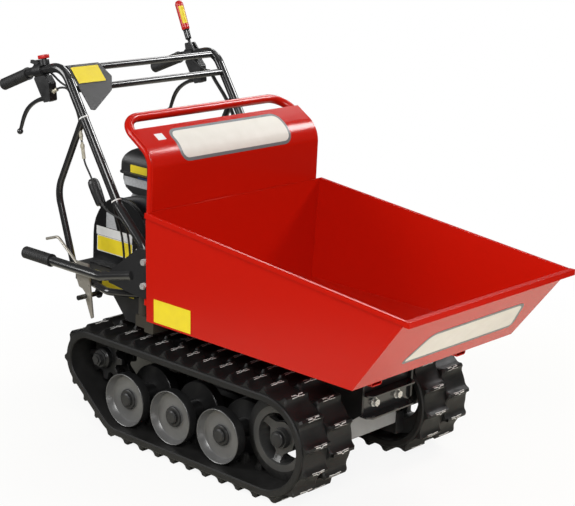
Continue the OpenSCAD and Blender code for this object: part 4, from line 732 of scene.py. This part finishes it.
def ringAlong(name, spec, start, toward):
    bm = bmesh.new()
    corners = [bm.verts.new((radius, 0, reach)) for radius, reach in spec["profile"]]
    ring = [bm.edges.new((corners[index - 1], corners[index])) for index in range(len(corners))]
    bmesh.ops.spin(bm, geom=corners + ring, cent=(0, 0, 0), axis=(0, 0, 1), angle=math.tau, steps=ringSteps,
                   use_merge=True)
    bmesh.ops.remove_doubles(bm, verts=bm.verts, dist=seamGap)
    turn = toward.to_track_quat("Z", "Y").to_matrix().to_4x4()
    bmesh.ops.transform(bm, verts=bm.verts, matrix=Matrix.Translation(start) @ turn)
    bmesh.ops.recalc_face_normals(bm, faces=bm.faces)
    placePiece(name, bm, "carrier", [spec["finish"]])


def tieBar(spec):
    low, high = (Vector((x, spec["side"], z)) for x, z in (spec["low"], spec["high"]))
    toward = (high - low).normalized()
    for name, height in spec["heights"].items():
        ringAlong(name, spec, low + toward * (height - low.z) / toward.z, toward)


tieBar(barTies)
print("lever sleeve and bar ties built")

# cable adjusters where the lever cables leave the perches
perchAdjuster = {"start": (-0.5475, 0.2962, 0.9228), "toward": (0.793, -0.256, 0.554), "finish": "zincPlate",
                 "profile": [(0.0032, 0), (0.0062, 0), (0.0062, 0.004), (0.0046, 0.0045), (0.0046, 0.011),
                             (0.0056, 0.0115), (0.0056, 0.016), (0.0032, 0.0165)]}
for side, label in ((-1, "right"), (1, "left")):
    mirrored = Vector((1, side, 1))
    ringAlong("perchAdjuster_" + label, perchAdjuster, Vector(perchAdjuster["start"]) * mirrored,
              (Vector(perchAdjuster["toward"]) * mirrored).normalized())

# steering levers: cast blades with a ball end; middle x and z, half the width and half the thickness
steeringLever = {
    "side": 0.296, "corners": 20, "ball": (-0.689, 0.789), "ballRadius": 0.0089, "ballSteps": (24, 16),
    "stations": [(-0.5555, 0.9085, 0.006, 0.0044), (-0.5655, 0.9055, 0.0085, 0.0046), (-0.594, 0.896, 0.0068, 0.0046),
                 (-0.609, 0.8905, 0.006, 0.0046), (-0.624, 0.883, 0.0058, 0.0048), (-0.636, 0.8755, 0.006, 0.005),
                 (-0.647, 0.867, 0.0064, 0.0052), (-0.6565, 0.8575, 0.0066, 0.0054), (-0.665, 0.846, 0.0066, 0.0054),
                 (-0.6725, 0.832, 0.0063, 0.0053), (-0.6785, 0.817, 0.0059, 0.0052), (-0.6835, 0.803, 0.0055, 0.005),
                 (-0.688, 0.791, 0.0052, 0.0048)],
}


def sweepStations(bm, stations, y, corners):
    ring = bmesh.ops.create_circle(bm, cap_ends=True, radius=1, segments=corners)["verts"]
    place = Matrix()
    for index, (x, z, wide, thick) in enumerate(stations):
        before, after = stations[max(index - 1, 0)], stations[min(index + 1, len(stations) - 1)]
        run = Vector((after[0] - before[0], 0, after[1] - before[1])).normalized()
        flat = Vector((0, 1, 0))
        turn = Matrix((flat.cross(run) * wide, flat * thick, run)).transposed().to_4x4()
        moved = Matrix.Translation((x, y, z)) @ turn
        if index:
            face = next(face for face in bm.faces if set(face.verts) == set(ring))
            pulled = bmesh.ops.extrude_face_region(bm, geom=[face])["geom"]
            ring = [item for item in pulled if isinstance(item, bmesh.types.BMVert)]
        bmesh.ops.transform(bm, verts=ring, matrix=moved @ place.inverted())
        place = moved


def buildSteeringLever(spec, side, label):
    node = "steering_lever_" + label
    bm = bmesh.new()
    sweepStations(bm, spec["stations"], side * spec["side"], spec["corners"])
    place = Matrix.Translation((spec["ball"][0], side * spec["side"], spec["ball"][1]))
    around, down = spec["ballSteps"]
    bmesh.ops.create_uvsphere(bm, u_segments=around, v_segments=down, radius=spec["ballRadius"], matrix=place)
    bmesh.ops.recalc_face_normals(bm, faces=bm.faces)
    placePiece(node + "_blade", bm, bodyOf[node], ["glossBlack"], [node], sharp=40)


buildSteeringLever(steeringLever, -1, "right")
buildSteeringLever(steeringLever, 1, "left")

# cable behind the near handlebar, tied to it at both ends, with its adjuster's two barrels; x and z
barCable = {
    "side": -0.296, "corners": 14, "radius": 0.0027, "adjusterToward": (-0.2154, 0, 0.9765),
    "route": [(-0.4765, 0.9265), (-0.463, 0.906), (-0.4495, 0.8855), (-0.4415, 0.869), (-0.4365, 0.853),
              (-0.4345, 0.8415), (-0.43, 0.821), (-0.415, 0.753), (-0.41, 0.7425), (-0.4005, 0.7295), (-0.389, 0.7145),
              (-0.374, 0.692), (-0.3585, 0.6665), (-0.347, 0.6505), (-0.333, 0.6375), (-0.3155, 0.6275),
              (-0.292, 0.6215), (-0.268, 0.618), (-0.2496, 0.611), (-0.2296, 0.599), (-0.2096, 0.5846),
              (-0.1696, 0.5563)],
    "adjusters": {
        "cableAdjuster_upper": {"start": (-0.4267, -0.296, 0.806), "finish": "zincPlate",
                                "profile": [(0.0031, 0), (0.0042, 0.001), (0.0042, 0.008), (0.0056, 0.009),
                                            (0.0056, 0.019), (0.0046, 0.02), (0.0046, 0.03), (0.0031, 0.031)]},
        "cableAdjuster_lower": {"start": (-0.4157, -0.296, 0.756), "finish": "zincPlate",
                                "profile": [(0.0031, 0), (0.005, 0.001), (0.005, 0.03), (0.0062, 0.031), (0.0062, 0.04),
                                            (0.004, 0.041), (0.004, 0.046), (0.0031, 0.047)]},
    },
}


def buildBarCable(spec):
    bm = bmesh.new()
    stations = [(x, z, spec["radius"], spec["radius"]) for x, z in spec["route"]]
    sweepStations(bm, stations, spec["side"], spec["corners"])
    bmesh.ops.recalc_face_normals(bm, faces=bm.faces)
    placePiece("barCable", bm, "carrier", ["gripRubber"], sharp=40)
    for name, adjuster in spec["adjusters"].items():
        ringAlong(name, adjuster, Vector(adjuster["start"]), Vector(spec["adjusterToward"]))


buildBarCable(barCable)

# stop switch: a flat red rocker on a round stem, from the stem's foot along its axis
stopRocker = {"foot": (-0.5869, -0.296, 1.0046), "axis": (-0.25038, 0, 0.968148), "stem": (0.0078, 0.007),
              "cap": (0.018, 0.03, 0.0105), "capFrom": 0.0052, "capRound": 0.0014, "steps": 32}


def buildRocker(spec):
    bm = bmesh.new()
    radius, high = spec["stem"]
    bmesh.ops.create_cone(bm, cap_ends=True, segments=spec["steps"], radius1=radius, radius2=radius, depth=high,
                          matrix=Matrix.Translation((0, 0, high / 2)))
    for face in bm.faces:
        face.material_index = 1
    cap = bmesh.ops.create_cube(bm, size=1)["verts"]
    bmesh.ops.scale(bm, verts=cap, vec=spec["cap"])
    bmesh.ops.translate(bm, verts=cap, vec=(0, 0, spec["capFrom"] + spec["cap"][2] / 2))
    edges = list({edge for vert in cap for edge in vert.link_edges})
    bmesh.ops.bevel(bm, geom=edges, offset=spec["capRound"], offset_type="OFFSET", segments=3, profile=0.5,
                    affect="EDGES", material=-1)
    turn = Vector(spec["axis"]).to_track_quat("Z", "Y").to_matrix().to_4x4()
    bmesh.ops.transform(bm, verts=bm.verts, matrix=Matrix.Translation(spec["foot"]) @ turn)
    bmesh.ops.recalc_face_normals(bm, faces=bm.faces)
    placePiece("stop_button_rocker", bm, bodyOf["stop_button"], ["sleeveRed", "mouldedBlack"],
               ["stop_button"])


buildRocker(stopRocker)
print("levers and switch built")

# plain plates: the surfaces that carry them, each as a place and the directions across and up, then the outlines
# on them in metres; on the bent guard, across it and upwards from its bend
guardBend = {"x": -0.10865, "z": 0.7807, "radius": 0.07785, "lean": math.radians(58)}
surfaces = {
    "lip": ((0.599, 0, 0.372), (0, 1, 0), (0.589, 0, 0.808)),
    "tubSide": ((-0.082, -0.3384, 0.378), (1, 0, 0), (0, -0.0433, 0.9991)),
    "tank": ((0, -0.12, 0), (1, 0, 0), (0, 0, 1)),
    "shroud": ((0, -0.106, 0), (1, 0, 0), (0, 0, 1)),
    "beltGuard": ((0, -0.2, 0), (1, 0, 0), (0, 0, 1)),
    "panel": ((-0.5, 0, 0.9965), (0, 1, 0), (-0.687, 0, 0.727)),
    "skirt": ((0, -0.269, 0), (1, 0, 0), (0, 0, 1)),
}
allPlates = {"thick": 0.0005, "sink": 0.0001, "cornerSteps": 6, "bendSteps": 14, "corner": 0.001,
             "border": "plateBorder"}


def boxOutline(left, low, right, high):
    return [(left, low), (right, low), (right, high), (left, high)]


plates = {
    "guardPlate": {"body": "tub", "finish": "plateCream", "outline": boxOutline(-0.222, 0.011, 0.218, 0.118),
                   "corner": 0.03, "borderWide": 0.009},
    "guardNotice": {"body": "tub", "finish": "plateWhite", "outline": boxOutline(-0.272, 0.084, -0.243, 0.108)},
    "lipPlate": {"body": "tub", "on": "lip", "finish": "plateCream", "corner": 0.024, "borderWide": 0.009,
                 "outline": [(-0.2, 0.05), (0.288, 0.05), (0.246, 0.162), (-0.154, 0.158)]},
    "tubNotice": {"body": "tub", "on": "tubSide", "finish": "plateYellow", "outline": boxOutline(0, 0, 0.137, 0.064)},
    "tankNotice": {"body": "carrier", "on": "tank", "finish": "plateYellow",
                   "outline": boxOutline(-0.417, 0.6957, -0.35, 0.7178)},
    "shroudPlate": {"body": "carrier", "on": "shroud", "finish": "plateGrey",
                    "outline": [(-0.456, 0.652), (-0.305, 0.652), (-0.305, 0.6765), (-0.458, 0.6765)]},
    "shroudStripe": {"body": "carrier", "on": "shroud", "finish": "plateBlue",
                     "outline": boxOutline(-0.401, 0.678, -0.305, 0.6865)},
    "guardPicture": {"body": "carrier", "on": "beltGuard", "finish": "plateWhite",
                     "outline": boxOutline(-0.466, 0.519, -0.319, 0.544)},
    "guardWarning": {"body": "carrier", "on": "beltGuard", "finish": "plateYellow",
                     "outline": boxOutline(-0.463, 0.472, -0.317, 0.518), "corner": 0.004, "borderWide": 0.002,
                     "border": "plateWhite"},
    "guardSpecks": {"body": "carrier", "on": "beltGuard", "finish": "plateGrey",
                    "outline": [(-0.426, 0.546), (-0.381, 0.546), (-0.398, 0.589), (-0.426, 0.589)]},
    "guardCorner": {"body": "carrier", "on": "beltGuard", "finish": "plateWhite",
                    "outline": boxOutline(-0.303, 0.484, -0.262, 0.508)},
    "panelNotice": {"body": "carrier", "on": "panel", "finish": "plateYellow",
                    "outline": boxOutline(-0.277, -0.0555, -0.178, -0.002), "corner": 0.002},
    "skirtNotice": {"body": "carrier", "on": "skirt", "finish": "plateYellow",
                    "outline": boxOutline(-0.364, 0.392, -0.234, 0.428)},
}


def guardPoint(across, rise, off):
    arc = guardBend["radius"] * guardBend["lean"]
    angle = min(max(rise, 0), arc) / guardBend["radius"]
    reach = guardBend["radius"] + off
    beyond = max(rise - arc, 0)
    x = guardBend["x"] - guardBend["radius"] + reach * math.cos(angle) - beyond * math.sin(guardBend["lean"])
    z = guardBend["z"] + reach * math.sin(angle) + beyond * math.cos(guardBend["lean"]) + min(rise, 0)
    return x, across, z


def buildPlate(name, spec):
    bm = bmesh.new()
    bm.faces.new([bm.verts.new((across, rise, 0)) for across, rise in spec["outline"]])
    bmesh.ops.bevel(bm, geom=bm.verts[:], offset=spec["corner"], offset_type="OFFSET", segments=spec["cornerSteps"],
                    profile=0.5, affect="VERTICES", material=-1)
    if "borderWide" in spec:
        rim = bmesh.ops.inset_region(bm, faces=bm.faces[:], thickness=spec["borderWide"], use_boundary=True,
                                     use_even_offset=True)["faces"]
        for face in rim:
            face.material_index = 1
    pulled = bmesh.ops.extrude_face_region(bm, geom=bm.faces[:])["geom"]
    raised = [item for item in pulled if isinstance(item, bmesh.types.BMVert)]
    bmesh.ops.translate(bm, verts=raised, vec=(0, 0, spec["thick"]))
    bmesh.ops.recalc_face_normals(bm, faces=bm.faces)
    if "on" in spec:
        place, along, up = (Vector(given) for given in surfaces[spec["on"]])
        up.normalize()
        turn = Matrix((along, up, along.cross(up))).transposed().to_4x4()
        sunk = Matrix.Translation((0, 0, -spec["sink"]))
        bmesh.ops.transform(bm, verts=bm.verts, matrix=Matrix.Translation(place) @ turn @ sunk)
    else:
        low, high = spec["outline"][0][1], spec["outline"][2][1]
        for cut in range(1, spec["bendSteps"]):
            rise = low + (high - low) * cut / spec["bendSteps"]
            bmesh.ops.bisect_plane(bm, geom=bm.verts[:] + bm.edges[:] + bm.faces[:], plane_co=(0, rise, 0),
                                   plane_no=(0, 1, 0))
        for vert in bm.verts:
            vert.co = guardPoint(vert.co.x, vert.co.y, vert.co.z - spec["sink"])
    bmesh.ops.recalc_face_normals(bm, faces=bm.faces)
    placePiece(name, bm, spec["body"], [spec["finish"], spec["border"]], sharp=20)


for name, spec in plates.items():
    buildPlate(name, {**allPlates, **spec})
print("plates built:", len(plates))
